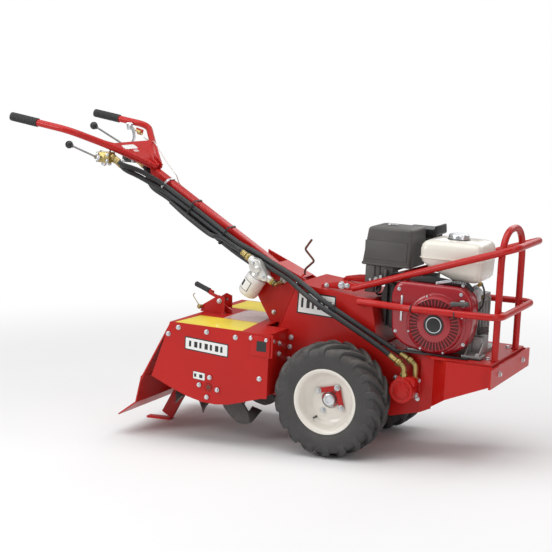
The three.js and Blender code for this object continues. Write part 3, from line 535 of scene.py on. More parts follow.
def hub_fittings(side, label):
    """The drive clamp's two bars and ring, its nuts, the cap on the axle end and the valve stem."""
    low, high = room("drive_clamp_" + label)
    start, end = (high.y, low.y) if side < 0 else (low.y, high.y)
    nuts = [at_angle(NUT_CIRCLE, degrees) for degrees in CLAMP_NUTS]

    def lifted(outline):
        return [(x, z + AXLE_Z) for x, z in outline]

    clamp = Form()
    for first, second in zip(nuts, nuts[1:]):
        clamp.plate(lifted(capsule(first, second, 8.5)), start, end)
        clamp.plate(lifted(capsule(first, second, 4)), end, end + side * 0.8)
    clamp.plate(lifted(arc(0, 0, 29.5, -62, 182, 28) + arc(0, 0, 25.5, 182, -62, 28)), start, end - side * 2)
    piece("drive_clamp_bars_" + label, clamp, TUBE_RED, "wheels", ["drive_clamp_" + label], bevel=1.2)

    fixings = Form()
    for degrees in (*CLAMP_NUTS, -120):
        x, z = at_angle(NUT_CIRCLE, degrees)
        seat = end if degrees in CLAMP_NUTS else start
        fixings.bolt((x, seat, z + AXLE_Z), Y * side, 15)
        fixings.lathe([(5, 0), (5, 12), (4, 13), (0.5, 13)], (x, seat, z + AXLE_Z), Y * side, 12)
    piece("wheel_nuts_" + label, fixings, ZINC, "wheels", bevel=0.5)

    cap = [(22, 0), (22, 14), (20.5, 18), (17, 19.6), (12, 19.8), (11, 17.5), (5, 17), (0.5, 17)]
    piece("hub_cap_" + label, Form().lathe(cap, (0, start, AXLE_Z), Y * side, 40), ZINC, "wheels")

    stem = Form()
    x, z = at_angle(84, 235)
    stem.lathe([(4, -4), (4, 14), (3, 16), (3, 24), (3.6, 24), (3.6, 30), (0.5, 30)],
        (x, start, z + AXLE_Z), Y * side, 14)
    piece("valve_stem_" + label, stem, PLASTIC, "wheels")


for side, label in ((-1, "right"), (1, "left")):
    tyre(label)
    rim(side, label)
    hub_fittings(side, label)


# ---------------------------------------------------------------- hood, frame and their fittings

def side_bolts(name, spots, y, size, material=None):
    """Bolt heads that stand out to the right, at (x, z) spots."""
    form = Form()
    for x, z in spots:
        form.bolt((x, y, z), -Y, size)
    return piece(name, form, material or ZINC, bevel=0.4)


def hood_bolts():
    panel = room("hood_side_right")[0].y
    rotor = pivot("tine_spin")
    top_row = [(-586, 394), (-471, 391), (-355, 386), (-627, 366), (-255, 249), (-292, 392), (-232, 392)]
    side_bolts("hood_bolts_right", top_row, panel, 13)
    left = Form()
    for x, z in top_row:
        left.bolt((x, -panel, z), Y, 13)
    piece("hood_bolts_left", left, ZINC, bevel=0.4)

    high = room("tine_bearing")[1]
    seat = (rotor.x, panel - 0.4, rotor.z)
    lip = Form().lathe([(9, -0.5), (14, -0.5), (13, 1.6), (10, 1.8), (9, 0.8)], seat, -Y, 32, loop=True)
    piece("shaft_hole_lip", lip, RED)
    piece("shaft_end", Form().lathe([(0.5, -0.5), (8.6, -0.5), (8.6, 0.5), (0.5, 0.9)], seat, -Y, 24),
        RUSTY)
    ring = [at_angle(37, degrees) for degrees in (83, 173, 263, 353)]
    side_bolts("bearing_bolts", [(rotor.x + x, rotor.z + z) for x, z in ring], panel - 4, 12)
    piece("bearing_ring_inner", Form().lathe(rect(48, 0, 52, high.y - panel - 14),
        (rotor.x, panel + 5.4, rotor.z), Y, 40, loop=True), ZINC, "chassis", ["tine_bearing"])


def hood_trim():
    """The raised plate at each front corner, with a black sheet of painted shade for its square socket."""
    low = room("hood_side_right")[0]
    for hand, label in ((1, "right"), (-1, "left")):
        panel = low.y * hand
        corner = Form()
        face = panel - hand * 5
        corner.plate(rect(-291, 402, -217, 331), panel, face)
        corner.plate(rect(-270, 388, -228, 347), face + hand * 4.4, face - hand * 0.4)
        piece("corner_plate_" + label, corner, RED, bevel=1.0)
        # The socket is a thin black sheet laid on the plate: painted shade that stands for the dark inside of
        # the hole.
        hole = Form()
        hole.plate(rounded(rect(-268, 386, -230, 349), 2), face - hand * 0.3, face - hand * 0.9)
        piece("tool_socket_painted_shade_" + label, hole, BLACK)


def labels():
    """Blank plates and plain coloured strips, where the machine carries its decals; the middle strip's grey
    is painted reflection.
    """
    panel = room("hood_side_right")[0].y
    frame_face = room("frame_side_right")[0].y

    def plaque(name, corners, y, border):
        """A white plate with a black edge and plain bars, on a right-hand face."""
        a, b, c, d = [Vector((x, 0, z)) for x, z in corners]

        def spot(u, v):
            point = (a * (1 - u) + b * u) * (1 - v) + (d * (1 - u) + c * u) * v
            return point.x, point.z

        def patch(u0, v0, u1, v1, level, thickness, radius=3):
            outline = rounded([spot(u0, v0), spot(u1, v0), spot(u1, v1), spot(u0, v1)], radius)
            return outline, y - level, y - level - thickness

        edge_u, edge_v = border / (b - a).length, border / (d - a).length
        piece(name + "_edge", Form().plate(*patch(0, 0, 1, 1, -0.1, 0.5, 4)), LABEL_BLACK)
        piece(name + "_face", Form().plate(*patch(edge_u, edge_v, 1 - edge_u, 1 - edge_v, 0.3, 0.4)),
            LABEL_WHITE)
        bars = Form()
        count = max(2, round((b - a).length / 26))
        for k in range(count):
            u = 0.08 + 0.84 * k / count
            wide = 0.84 / count * (0.62 if k % 2 else 0.42)
            bars.plate(*patch(u + 0.02, 0.28, u + 0.02 + wide, 0.72, 0.6, 0.3, 1.5))
        piece(name + "_bars", bars, LABEL_BLACK)

    plaque("name_plate", [(-558, 366), (-381, 357), (-381, 308), (-558, 318)], panel, 4)
    plaque("size_plate", [(-188, 553), (-40, 548), (-40, 468), (-191, 472)], frame_face, 5)
    plaque("small_plate", [(-520, 243), (-470, 240), (-470, 211), (-520, 214)], panel, 1.5)

    top = room("hood_top")[1].z
    # The yellow strips are decals; the middle strip's pale grey is a painted reflection on the glossy hood
    # top.
    for name, outline, material in (("strip_right", [(-603, -284), (-332, -284), (-352, -112),
            (-590, -112)], LABEL_YELLOW), ("strip_middle_painted_reflection", [(-500, -105), (-352, -105), (-372, 102),
            (-500, 102)], GREY_LABEL_AND_REFLECTION), ("strip_left", [(-590, 105), (-400, 105), (-515, 280), (-590, 280)],
            LABEL_YELLOW)):
        piece(name, Form().plate(rounded(outline, 3), top - 0.1, top + 0.5, across=Z), material)


def frame_fittings():
    """Bolts and weld beads on the frame plates, the deck and the bumper."""
    form = Form()
    face = room("frame_side_right")[0].y
    for x, z in ((-208, 380), (-212, 345), (-214, 300)):
        form.bolt((x, face, z), -Y, 13)
        form.bolt((x, -face, z), Y, 13)
    for hand in (-1, 1):
        form.bolt((-222, hand * 205, 368), X, 13)
        form.bolt((-222, hand * 205, 330), X, 13)
        form.bolt((-222, hand * 262, 384), X, 13)
    piece("frame_bolts", form, ZINC, bevel=0.4)

    beads = Form()
    hoop_low, hoop_high = room("guard_hoop")
    for y in (hoop_low.y + 12.5, hoop_high.y - 12.5):
        centre = Vector(((hoop_low.x + hoop_high.x) / 2, y, hoop_low.z + 2))
        beads.pipe(circle(centre, Z, 13.5, 24), 2.2, 8, closed=True)
    piece("guard_welds", beads, TUBE_RED)


def flap_hinge():
    """Leaf that closes the gap between the hood's rear edge and the rear flap's hinge line."""
    line, half = pivot("flap_swing"), 278
    leaf = Form().plate([(line.x + 3, line.z + 14), (line.x + 10, line.z + 11), (line.x + 4, line.z + 1),
        (line.x - 3, line.z + 2)], -half, half)
    piece("hinge_leaf", leaf, RED)


hood_bolts()
flap_hinge()
hood_trim()
labels()
frame_fittings()


# ---------------------------------------------------------------- engine

def shrunk(outline, inset):
    """An outline drawn in towards its middle, so that a loft can round its edge."""
    xs, zs = [x for x, _ in outline], [z for _, z in outline]
    cx, cz = (min(xs) + max(xs)) / 2, (min(zs) + max(zs)) / 2
    half_x, half_z = (max(xs) - min(xs)) / 2, (max(zs) - min(zs)) / 2
    return [(cx + (x - cx) * (1 - inset / half_x), cz + (z - cz) * (1 - inset / half_z)) for x, z in outline]


def soft_box(low, high, corner, edge, bottom_edge=0.0):
    """A box with rounded upright corners and an eased top edge."""
    base = rounded(rect(low[0], low[1], high[0], high[1]), corner, 6)
    levels = [(low[2], bottom_edge)] if bottom_edge else [(low[2], 0)]
    if bottom_edge:
        levels.append((low[2] + bottom_edge, 0))
    for k in range(5):
        turn = math.pi / 2 * k / 4
        levels.append((high[2] - edge * (1 - math.sin(turn)), edge * (1 - math.cos(turn))))
    rings = []
    for level, inset in levels:
        rings.append([Vector((x, y, level)) for x, y in (shrunk(base, inset) if inset else base)])
    return Form().loft(rings)


def fan_cover():
    low, high = room("fan_cover")
    rim_x, rim_z = high.x, high.z
    outline = rounded([(low.x + 10, low.z + 48), (low.x, high.z - 46), (low.x + 20, rim_z),
        (rim_x - 50, rim_z), (rim_x - 8, rim_z - 34), (rim_x, low.z + 106), (rim_x - 22, low.z + 30),
        (rim_x - 78, low.z), (low.x + 118, low.z), (low.x + 52, low.z + 14)], 46, 6)
    depths = [(high.y, 0), (low.y + 12, 0), (low.y + 6, 1.5), (low.y + 2, 5), (low.y, 11)]
    rings = [[Vector((x, y, z)) for x, z in shrunk(outline, inset)] for y, inset in depths]
    form = Form().loft(rings)
    form.loft([[Vector((x, y, z)) for x, z in shrunk(outline, -1.5)] for y in (high.y, high.y - 5)])
    piece("fan_shroud", form, COVER_RED, "chassis", ["fan_cover"])

    bolts = Form()
    for x, z in ((low.x + 24, low.z + 62), (low.x + 30, high.z - 26), (high.x - 46, high.z - 22),
            (high.x - 28, low.z + 44), (low.x + 120, low.z + 14)):
        bolts.bolt((x, low.y, z), -Y, 9)
    bolts.plate(rect(212, 497, 219, 585), low.y - 0.2, low.y - 4)
    piece("shroud_bolts", bolts, ZINC, bevel=0.4)


def recoil_housing():
    """The starter's stepped dome with its ring of radial slots."""
    low, high = room("recoil_housing")
    centre = Vector(((low.x + high.x) / 2, high.y, (low.z + high.z) / 2))
    tall = high.y - low.y
    floor = tall - 6
    profile = [(106, -0.4), (106, 2.5), (103, 5), (97, 6), (95, tall - 9), (92, tall - 4),
        (89, tall - 2.6), (87.5, floor), (61, floor), (59.5, tall - 2), (56, tall - 0.4), (41, tall),
        (38, tall), (36.5, tall - 1.6), (0.5, tall - 1.6)]
    form = Form().lathe(profile, centre, -Y, 72)
    slots = 40
    for k in range(slots):
        ends = [at_angle(radius, 360 * k / slots) for radius in (59, 90)]
        outline = [(x + centre.x, z + centre.z) for x, z in capsule(*ends, 1.7, 2)]
        form.plate(outline, high.y - floor + 0.5, high.y - tall + 2.4)
    for degrees in (20, 110, 200, 290):
        x, z = at_angle(100, degrees)
        form.lathe([(7, -1), (7, 4), (5.5, 5.5), (0.5, 5.5)], centre + Vector((x, -3, z)), -Y, 16)
    piece("recoil_dome", form, COVER_RED, "chassis", ["recoil_housing"])
    # The ring at the slots' floor is painted shade, drawn near-black red instead of the shroud's red.
    slot_floor = Form().lathe(rect(61.5, 0, 87, 0.5), centre - Y * floor, -Y, 72, loop=True)
    piece("recoil_slots", slot_floor, SLOT_SHADE_RED)
    disc = Form().lathe([(35.5, 0), (35.5, 1), (34, 1.4), (0.5, 1.6)], centre - Y * (tall - 1.7), -Y, 48)
    piece("recoil_disc", disc, BLACK)
    ring = Form().lathe(rect(25, 0, 28, 0.6), centre - Y * (tall - 0.2), -Y, 48, loop=True)
    piece("recoil_disc_ring", ring, ZINC)
    screws = Form()
    for degrees in (20, 110, 200, 290):
        x, z = at_angle(100, degrees)
        screws.bolt(centre + Vector((x, -8.5, z)), -Y, 7, washer=False)
    piece("recoil_screws", screws, ZINC)


def starter_grip():
    low, high = room("recoil_grip")
    y = (low.y + high.y) / 2
    start, end = Vector((low.x - 1, y, low.z + 9)), Vector((high.x + 1, y, high.z - 9))
    along = (end - start).normalized()
    reach = (end - start).length
    steps = [(0, 6), (0.04, 8.5), (0.2, 9.2), (0.38, 8), (0.5, 7.4), (0.62, 8), (0.8, 9.2), (0.96, 8.5),
        (1, 6)]
    form = Form().pipe([start + along * reach * t for t, _ in steps], [r for _, r in steps], 20)
    middle = start + along * reach / 2
    form.lathe([(9, 0), (9.5, 4), (6, 9), (4.5, 13), (0.5, 13)], middle + Y * 2, Y, 20)
    piece("starter_grip", form, PLASTIC, "recoil_grip", ["recoil_grip"])
    eye = Form().lathe([(5, 0), (13, 0), (13, 3), (11, 6), (8, 7), (5, 7)],
        (middle.x + 4, -171, middle.z - 1), Y * -1, 24, loop=True)
    piece("starter_eye", eye, ZINC)


def fuel_tank():
    """A moulded tank in two halves with a seam flange, cut away underneath towards the rear."""
    low, high = room("fuel_tank")
    seam = low.z + 74
    levels = [(low.z, 131, 22, 30, 12), (low.z + 4, 121, 12, 18, 18), (low.z + 14, 96, 4, 9, 24),
        (low.z + 36, 42, 2, 4, 28), (low.z + 62, 6, 1.5, 2.5, 28), (seam, 2.5, 1.5, 2, 28),
        (seam + 6, 1, 1, 1, 28), (high.z - 34, 0, 1, 0, 28), (high.z - 18, 4, 4, 4, 28),
        (high.z - 9, 11, 10, 11, 28), (high.z - 3, 24, 20, 24, 26), (high.z, 44, 40, 44, 22)]
    rings = []
    for level, rear, front, side, corner in levels:
        outline = rounded(rect(low.x + rear, low.y + side, high.x - front, high.y - side), corner, 8)
        rings.append([Vector((x, y, level)) for x, y in outline])
    form = Form().loft(rings)
    lip = rounded(rect(low.x - 3, low.y - 3, high.x + 3, high.y + 3), 32, 8)
    form.plate(lip, seam, seam + 4, across=Z)
    piece("fuel_tank_shell", form, IVORY, "chassis", ["fuel_tank"], bevel=1.2)

    cap_low, cap_high = room("fuel_cap")
    centre = (cap_low + cap_high) / 2
    centre.z = cap_low.z
    tall = cap_high.z - cap_low.z
    sides = 64
    rings = []
    for level, radius, knurl in ((0, 33, 0), (1, 35, 1), (tall - 6, 35, 1), (tall - 3, 33, 0.6),
            (tall - 1, 29, 0), (tall - 1, 24, 0), (tall, 21, 0), (tall, 4, 0)):
        rings.append([centre + Vector(((radius + knurl * (k % 4 < 2)) * math.cos(2 * math.pi * k / sides),
            (radius + knurl * (k % 4 < 2)) * math.sin(2 * math.pi * k / sides), level))
            for k in range(sides)])
    piece("fuel_cap_knurled", Form().loft(rings), ZINC, "fuel_cap", ["fuel_cap"])
    neck = Form().lathe([(38, -1), (40, 1), (38, 2.2), (36.8, 2.2), (36.8, -1)], centre, Z, 48, loop=True)
    piece("fuel_neck", neck, BLACK)


def air_cleaner():
    low, high = room("air_cleaner")
    form = soft_box((low.x + 2, low.y + 2, low.z), (high.x - 1, high.y - 2, high.z - 2), 14, 11)
    middle, lean = (low.x + high.x) / 2, 20 / (high.z - low.z)
    for vert in form.mesh.verts:
        if vert.co.x < middle:
            vert.co.x += lean * (vert.co.z - low.z)
    form.plate(rounded(rect(low.x, low.y, high.x, high.y), 17, 6), low.z + 1, low.z + 9, across=Z)
    form.plate(rounded(rect(low.x + 14, low.y - 0.8, high.x - 14, low.y + 6), 3), low.z + 22, low.z + 88,
        across=Z)
    knob = Vector(((low.x + high.x) / 2 - 10, -10, high.z - 4))
    form.lathe([(14, 0), (14, 3), (9, 6), (0.5, 6)], knob, Z, 24)
    piece("air_cleaner_cover", form, PLASTIC, "chassis", ["air_cleaner"], bevel=1.5)
    wing = Form().plate(capsule((knob.x - 16, knob.z + 4), (knob.x + 16, knob.z + 4), 3.5), knob.y - 2,
        knob.y + 2)
    piece("air_cleaner_nut", wing, ZINC, bevel=0.6)


def intake():
    """Carburettor body, intake elbow, choke lever and the bowl under them."""
    low, high = room("carburetor")
    form = soft_box((low.x, low.y, low.z + 32), (low.x + 56, high.y, high.z), 10, 4)
    form.block((low.x + 53, low.y + 6, high.z - 38), (high.x, high.y - 4, high.z), 6)
    form.block((low.x + 3, low.y - 8, high.z - 96), (low.x + 38, low.y + 14, high.z - 1), 6)
    form.pipe(bent([(low.x + 78, low.y, high.z - 10), (low.x + 78, low.y - 6, high.z - 46),
        (low.x + 110, low.y - 4, high.z - 60)], 12), 6, 12)
    piece("intake_elbow", form, PLASTIC, bevel=1.5)
    bowl = Form().lathe([(20, 0), (22, 3), (22, 20), (18, 28), (10, 31), (0.5, 31)],
        (low.x + 30, (low.y + high.y) / 2, low.z + 32), -Z, 32)
    bowl.block((low.x + 8, low.y - 5, low.z + 40), (low.x + 52, low.y + 4, low.z + 62), 3)
    piece("carburetor_bowl", bowl, CAST, "chassis", ["carburetor"], bevel=1)
    levers = Form()
    levers.pipe(bent([(low.x + 60, low.y - 6, high.z - 52), (low.x + 150, low.y - 8, high.z - 46),
        (low.x + 196, low.y - 6, high.z - 30)], 10), 1.6, 8)
    levers.plate(capsule((low.x + 58, high.z - 60), (low.x + 62, high.z - 36), 5), low.y - 8, low.y - 5)
    levers.bolt((low.x + 24, low.y - 5, low.z + 51), -Y, 9)
    levers.bolt((low.x + 42, low.y - 5, low.z + 51), -Y, 9)
    piece("choke_rod", levers, ZINC)


def silencer():
    low, high = room("muffler")
    body = soft_box((low.x + 32, low.y + 4, high.z - 102), (low.x + 168, high.y - 6, high.z - 36), 24, 14, 8)
    body.pipe(bent([(low.x + 14, low.y + 10, low.z), (low.x + 14, low.y + 12, low.z + 66),
        (low.x + 70, low.y + 22, low.z + 90), (low.x + 96, low.y + 30, low.z + 128)], 22), 13, 20)
    body.pipe([(low.x + 160, high.y - 30, high.z - 70), (low.x + 182, high.y - 30, high.z - 70)], 12, 20)
    piece("silencer_can", body, DARK_CAST_AND_SHADE, "chassis", ["muffler"], bevel=1)
    shield = Form()
    shield.plate(rounded([(low.x + 24, high.z - 34), (low.x + 60, high.z - 14), (low.x + 176, high.z - 14),
        (low.x + 178, high.z), (high.x - 3, high.z), (high.x, high.z - 34), (high.x - 14, high.z - 38)], 7,
        5), low.y, high.y)
    shield.plate(rounded(rect(low.x + 30, high.z - 100, low.x + 172, high.z - 34), 10), high.y - 4, high.y)
    piece("silencer_shield", shield, BLACK, bevel=2)
    vents = Form()
    for k in range(6):
        x = low.x + 50 + 20 * k
        vents.plate(capsule((x, high.z - 86), (x, high.z - 52), 3.5), high.y - 0.2, high.y + 0.3)
    piece("silencer_vents", vents, DARK_CAST_AND_SHADE)


def crankcase_details():
    """Feet, ribs, flange bolts and the oil filler on the engine block."""
    low, high = room("crankcase")
    floor = low.z
    feet = Form()
    for x0, x1 in ((low.x + 2, low.x + 58), (high.x - 52, high.x + 22)):
        feet.plate(rounded(rect(x0, -150, x1, -90), 8), floor + 0.2, floor + 11, across=Z)
        for x in (x0 + 10, x1 - 16):
            feet.plate([(-146, floor + 10), (-92, floor + 10), (-92, floor + 52)], x, x + 6, across=X)
    feet.block((high.x - 34, -92, floor + 10), (high.x + 6, -20, floor + 66), 8)
    feet.pipe([(high.x - 36, -60, floor + 78), (high.x - 26, -60, floor + 81)], 20, 24)
    for y in (-70, -35, 0, 35, 70):
        feet.block((high.x - 33, y - 3, floor + 14), (high.x - 22, y + 3, floor + 186))
    piece("engine_feet", feet, CAST, bevel=1.5)
    bolts = Form()
    for x in (low.x + 20, high.x + 2):
        bolts.bolt((x, -134, floor + 11), Z, 13)
    for y in (-84, -30, 30, 84):
        for z in (floor + 30, floor + 180):
            bolts.bolt((high.x - 32, y, z), X, 8)
    piece("engine_bolts", bolts, ZINC, bevel=0.4)

    cap_low, cap_high = room("oil_cap")
    axis = Vector((41, 0, 14)).normalized()
    seat = Vector((cap_low.x + 4, (cap_low.y + cap_high.y) / 2, cap_low.z + 12.5))
    filler = Form().lathe([(9, 0), (9, 6), (12.6, 6), (13.4, 8), (13.4, 30), (12, 35), (8, 37), (8, 41),
        (0.5, 41)], seat, axis, 24)
    side, up = frame_of(axis)
    grip = [seat + axis * a + up * b for a, b in ((36, -11), (44, -9), (44, 9), (36, 11))]
    filler.loft([[point - side * 2.5 for point in grip], [point + side * 2.5 for point in grip]])
    piece("oil_filler_cap", filler, PLASTIC, "oil_cap", ["oil_cap"], bevel=0.8)


def controls():
    """Throttle plate, governor spring, fuel pipe and wiring between tank and shroud."""
    top = room("fan_cover")[1].z
    plates = Form()
    plates.plate(rounded([(232, top + 2), (430, top + 2), (452, top - 18), (462, top - 6), (440, top + 16),
        (300, top + 26), (232, top + 14)], 6), -128, -124)
    plates.block((250, -122, top + 1), (420, -60, top + 8), 6)
    plates.block((270, -118, top + 6), (318, -70, top + 30), 6)
    piece("throttle_plate", plates, BLACK, bevel=1)
    bright = Form()
    bright.plate(capsule((330, top + 4), (376, top + 18), 5), -133, -129)
    bright.bolt((330, -133, top + 4), -Y, 9)
    bright.bolt((420, -129, top + 4), -Y, 9)
    turns, radius = 9, 4.5
    coil = [Vector((382 + 50 * k / (turns * 12), -131 + radius * math.cos(k * math.pi / 6),
        top + 14 + radius * math.sin(k * math.pi / 6))) for k in range(turns * 12 + 1)]
    bright.pipe(coil, 0.9, 6)
    bright.plate(rounded([(440, top - 60), (474, top - 50), (478, top - 8), (452, top + 8),
        (436, top - 6)], 6), -96, -92)
    for x, z in ((452, top - 46), (462, top - 14)):
        bright.bolt((x, -96, z), -Y, 9)
    piece("governor_parts", bright, ZINC, bevel=0.4)
    brass = Form()
    brass.lathe([(5, 0), (8, 2), (8, 9), (6, 11), (6, 20), (8.5, 20), (8.5, 29), (4, 31)],
        (452, -84, top - 4), Vector((0.7, -0.3, 0.6)), 6)
    brass.lathe([(6, 0), (6, 12), (8, 12), (8, 18), (3, 20)], (462, -70, top - 38), Vector((1, -0.2, 0.2)), 6)
    piece("fuel_fittings", brass, YELLOW_ZINC)
    wires = Form()
    wires.pipe(flowing([(474, -92, top + 14), (486, -96, top - 14), (482, -90, top - 60),
        (466, -86, top - 84)], 8), 3.4, 10)
    wires.pipe(flowing([(240, -118, top + 10), (180, -108, top + 22), (140, -98, top + 6),
        (112, -92, top - 26)], 8), 3, 10)
    wires.pipe(flowing([(112, -30, top - 60), (84, -50, top - 74), (96, -88, top - 40),
        (160, -100, top - 8)], 8), 3.6, 10)
    piece("engine_wires", wires, HOSE)


fan_cover()
recoil_housing()
starter_grip()
fuel_tank()
air_cleaner()
intake()
silencer()
crankcase_details()
controls()


# ---------------------------------------------------------------- guards and chassis trim

def both_sides(arm):
    """A right-hand half of a tube's line, with its mirror image after it."""
    return arm + [(x, -y, z) for x, y, z in reversed(arm)]


def weld(form, centre, axis, radius):
    """A bead of weld round a joint."""
    form.lathe([(radius - 1, -2.4), (radius + 1.5, -1), (radius + 1.8, 0.6), (radius - 1, 2.4)], centre,
        axis, 28, loop=True)


def guards():
    low, high = room("guard_hoop")
    tube = (high.x - low.x) / 2
    x, half, crown = low.x + tube, high.y - tube, high.z - tube
    hoop = Form().pipe(bent([(x, -half, low.z), (x, -half, crown), (x, half, crown), (x, half, low.z)],
        half - 3, 18), tube, 24)
    for y in (-half, half):
        weld(hoop, (x, y, low.z + 2), Z, tube)
    piece("hoop_tube", hoop, TUBE_RED, "chassis", ["guard_hoop"])

    front = room("guard_rail_lower")[1].x - tube
    arm = [(48, -150, 541), (112, -152, 543), (262, -201, 548), (front, -201, 553)]
    rail = Form().pipe(bent(both_sides(arm), 45, 8), tube, 24)
    for y in (-half, half):
        rail.pipe([(x + tube - 2, y, 553), (front - tube + 2, y, 553)], 9, 16)
    piece("lower_rail_tube", rail, TUBE_RED, "chassis", ["guard_rail_lower"])
    ties = Form()
    for tie_x in (264, 420):
        for y in (-201, 201):
            ties.lathe(rect(tube - 0.5, -2, tube + 1, 2), (tie_x, y, 549), X, 24, loop=True)
    piece("rail_ties", ties, BLACK)

    top_low = room("guard_rail_upper")[0]
    start, end = Vector((6, -101, 578)), Vector((606, -156, 784))
    rail = Form().pipe(bent(both_sides([tuple(start), tuple(end)]), 50, 10), tube, 24)
    ears = Form().plate(rounded([(top_low.x, 572), (-104, 586), (-50, 597), (-12, 600), (16, 592),
        (16, 571), (-60, 570)], 5), -106, -98)
    ears.pipe([(x, -half - 6, 762), (x, -half - 20, 762)], 9, 16)
    ears.mirrored()
    piece("upper_rail_tube", rail, TUBE_RED, "chassis", ["guard_rail_upper"])
    piece("upper_rail_ears", ears, RED, bevel=0.8)
    bolts = Form()
    bolts.bolt((-34, -106, 585), -Y, 19)
    bolts.bolt((-92, -106, 578), -Y, 13)
    bolts.bolt((-13, -106, 586), -Y, 13)
    bolts.mirrored()
    piece("rail_bolts", bolts, ZINC, bevel=0.4)


def chassis_trim():
    """Weld beads, deck bolts and the black pads under the engine."""
    beads = Form()
    for line in ([(138, -136.5, 393), (300, -136.5, 388), (332, -137, 386)],
            [(332, -136.8, 196), (332, -136.8, 300), (332, -136.8, 380)],
            [(-285, -136.5, 345), (-240, -136.5, 462), (-198, -136.5, 577)]):
        beads.pipe(flowing([tuple(point) for point in line], 6), 2.2, 10)
    beads.mirrored()
    piece("frame_welds", beads, RED)
    pads = Form()
    low, high = room("engine_deck")
    for x0, x1 in ((232, 292), (430, 506)):
        pads.block((x0, -158, high.z), (x1, -94, high.z + 4), 4)
    pads.block((low.x + 60, -176, high.z), (low.x + 330, -164, high.z + 6))
    piece("engine_pads", pads, BLACK, bevel=1)
    bolts = Form()
    for x in (180, 520):
        for y in (-120, 120):
            bolts.bolt((x, y, high.z), Z, 14)
    bolts.bolt((570, -140, 352), X, 14)
    bolts.bolt((570, 140, 352), X, 14)
    piece("deck_bolts", bolts, ZINC, bevel=0.4)


guards()
chassis_trim()


# ---------------------------------------------------------------- handle

COLUMN_SLOPE = math.radians(30.41)      # fall of the handle column towards the front
COLUMN_HALF = 19
COLUMN_TOP, COLUMN_FOOT = -868, -262    # x of the ends of its centre line
COLUMN_DIR = Vector((math.cos(COLUMN_SLOPE), 0, -math.sin(COLUMN_SLOPE)))
COLUMN_UP = Vector((math.sin(COLUMN_SLOPE), 0, math.cos(COLUMN_SLOPE)))
PIVOT = pivot("handle_tilt")
BAR = 13
GRIP_Y = 290
HOSE_R = 9.4


def by_column(x, y, up):
    """A point beside the column, "up" measured square to it."""
    start = Vector((PIVOT.x, 0, PIVOT.z)) + COLUMN_UP * up
    point = start + COLUMN_DIR * ((x - start.x) / COLUMN_DIR.x)
    return point.x, y, point.z


def column():
    half = COLUMN_HALF
    section = rounded(rect(-half, -half, half, half), 5, 5)
    ends = [Vector(by_column(x, 0, 0)) for x in (COLUMN_TOP, COLUMN_FOOT)]
    form = Form().loft([[end + Y * a + COLUMN_UP * b for a, b in section] for end in ends])
    top = ends[0]
    for hand in (-1, 1):
        web = [top + COLUMN_DIR * a + COLUMN_UP * b + Y * hand * (half - 5) for a,
            b in ((2, -half + 2), (2, half + 20), (-52, half + 36), (-24, half - 8))]
        form.loft([web, [point + Y * hand * 4.6 for point in web]])
    piece("column_tube", form, TUBE_RED, "handle", ["handle_column"], bevel=0.6)


def handlebar():
    line = [(-862, -16, 939), (-981, -165, 1019), (-1074, -GRIP_Y, 1072.7), (-1322, -GRIP_Y, 1108)]
    form = Form().pipe(bent(line, 48, 12), BAR, 24)
    form.mirrored()
    for hand in (-1, 1):
        weld(form, (-880, hand * 38, 951), Vector((-119, hand * 149, 80)).normalized(), BAR)
    piece("bar_tube", form, TUBE_RED, "handle", ["handlebar"])

    slope = math.atan2(80, 119)
    back = Vector((-math.cos(slope), 0, math.sin(slope)))
    normal = Vector((math.sin(slope), 0, math.cos(slope)))
    corner = Vector((-862, 0, 946))
    half_plan = [(-4, 30), (142, 178), (166, 190), (156, 172), (146, 152), (138, 132)]
    plan = half_plan + [(u, -v) for u, v in reversed(half_plan)]

    def on_plate(points, low, high):
        return [[corner + back * u + Y * v + normal * level for u, v in points] for level in (low, high)]

    plate = Form().loft(on_plate(plan, 0, 5))
    plate.loft(on_plate(rect(131, -130, 138, 130), -9, 4))
    piece("bar_gusset", plate, RED, "handle", bevel=1.5)
    label = rounded(rect(96, -108, 120, -14), 9, 5)
    piece("bar_label", Form().loft(on_plate(label, 5, 5.5)), LABEL_WHITE, "handle")
    dark = rounded(rect(78, -62, 90, -30), 3)
    piece("bar_small_label", Form().loft(on_plate(dark, 5, 5.5)), GREY_LABEL_AND_REFLECTION, "handle")


def grips():
    for hand, node in ((-1, "grip_right"), (1, "grip_left")):
        start = Vector((-1210, hand * GRIP_Y, 1092.1))
        along = Vector((-116, 0, 16.5)).normalized()
        profile = [(13.2, 0), (16.3, 0), (16.7, 2.5), (16.3, 5), (15, 6.5)]
        for k in range(12):
            level = 9 + 8.2 * k
            profile += [(15, level), (16.5, level + 1.4), (16.5, level + 5), (15, level + 6.4)]
        profile += [(16.3, 109), (16.6, 114), (15.6, 118.5), (12, 121), (0.5, 121.4)]
        piece("ribbed_" + node, Form().lathe(profile, start, along, 28), GRIP, "handle", [node])


def ball(centre, radius, axis):
    """A round knob with a short neck."""
    steps = 16
    profile = []
    for k in range(steps + 1):
        turn = math.pi * (0.14 + 0.84 * k / steps)
        profile.append((max(radius * math.sin(turn), 0.4), -radius * math.cos(turn)))
    return Form().lathe([(radius * 0.42, -radius * 1.12)] + profile, centre, axis, 28)


def knob_lever(node, joint, body):
    low, high = room(node)
    eye = pivot(joint)
    radius = 15
    tip = Vector((low.x + radius, eye.y, high.z - radius))
    rod = Form().pipe([eye, tip], 3.6, 12)
    rod.lathe(rect(3, -5.5, 7.5, 5.5), eye, Y, 20, loop=True)
    rod.pipe([eye - Y * 9, eye + Y * 9], 3, 12)
    piece(node + "_rod", rod, DULL_STEEL, body, [node])
    piece(node + "_knob", ball(tip, radius, (tip - eye).normalized()), BLACK, body)


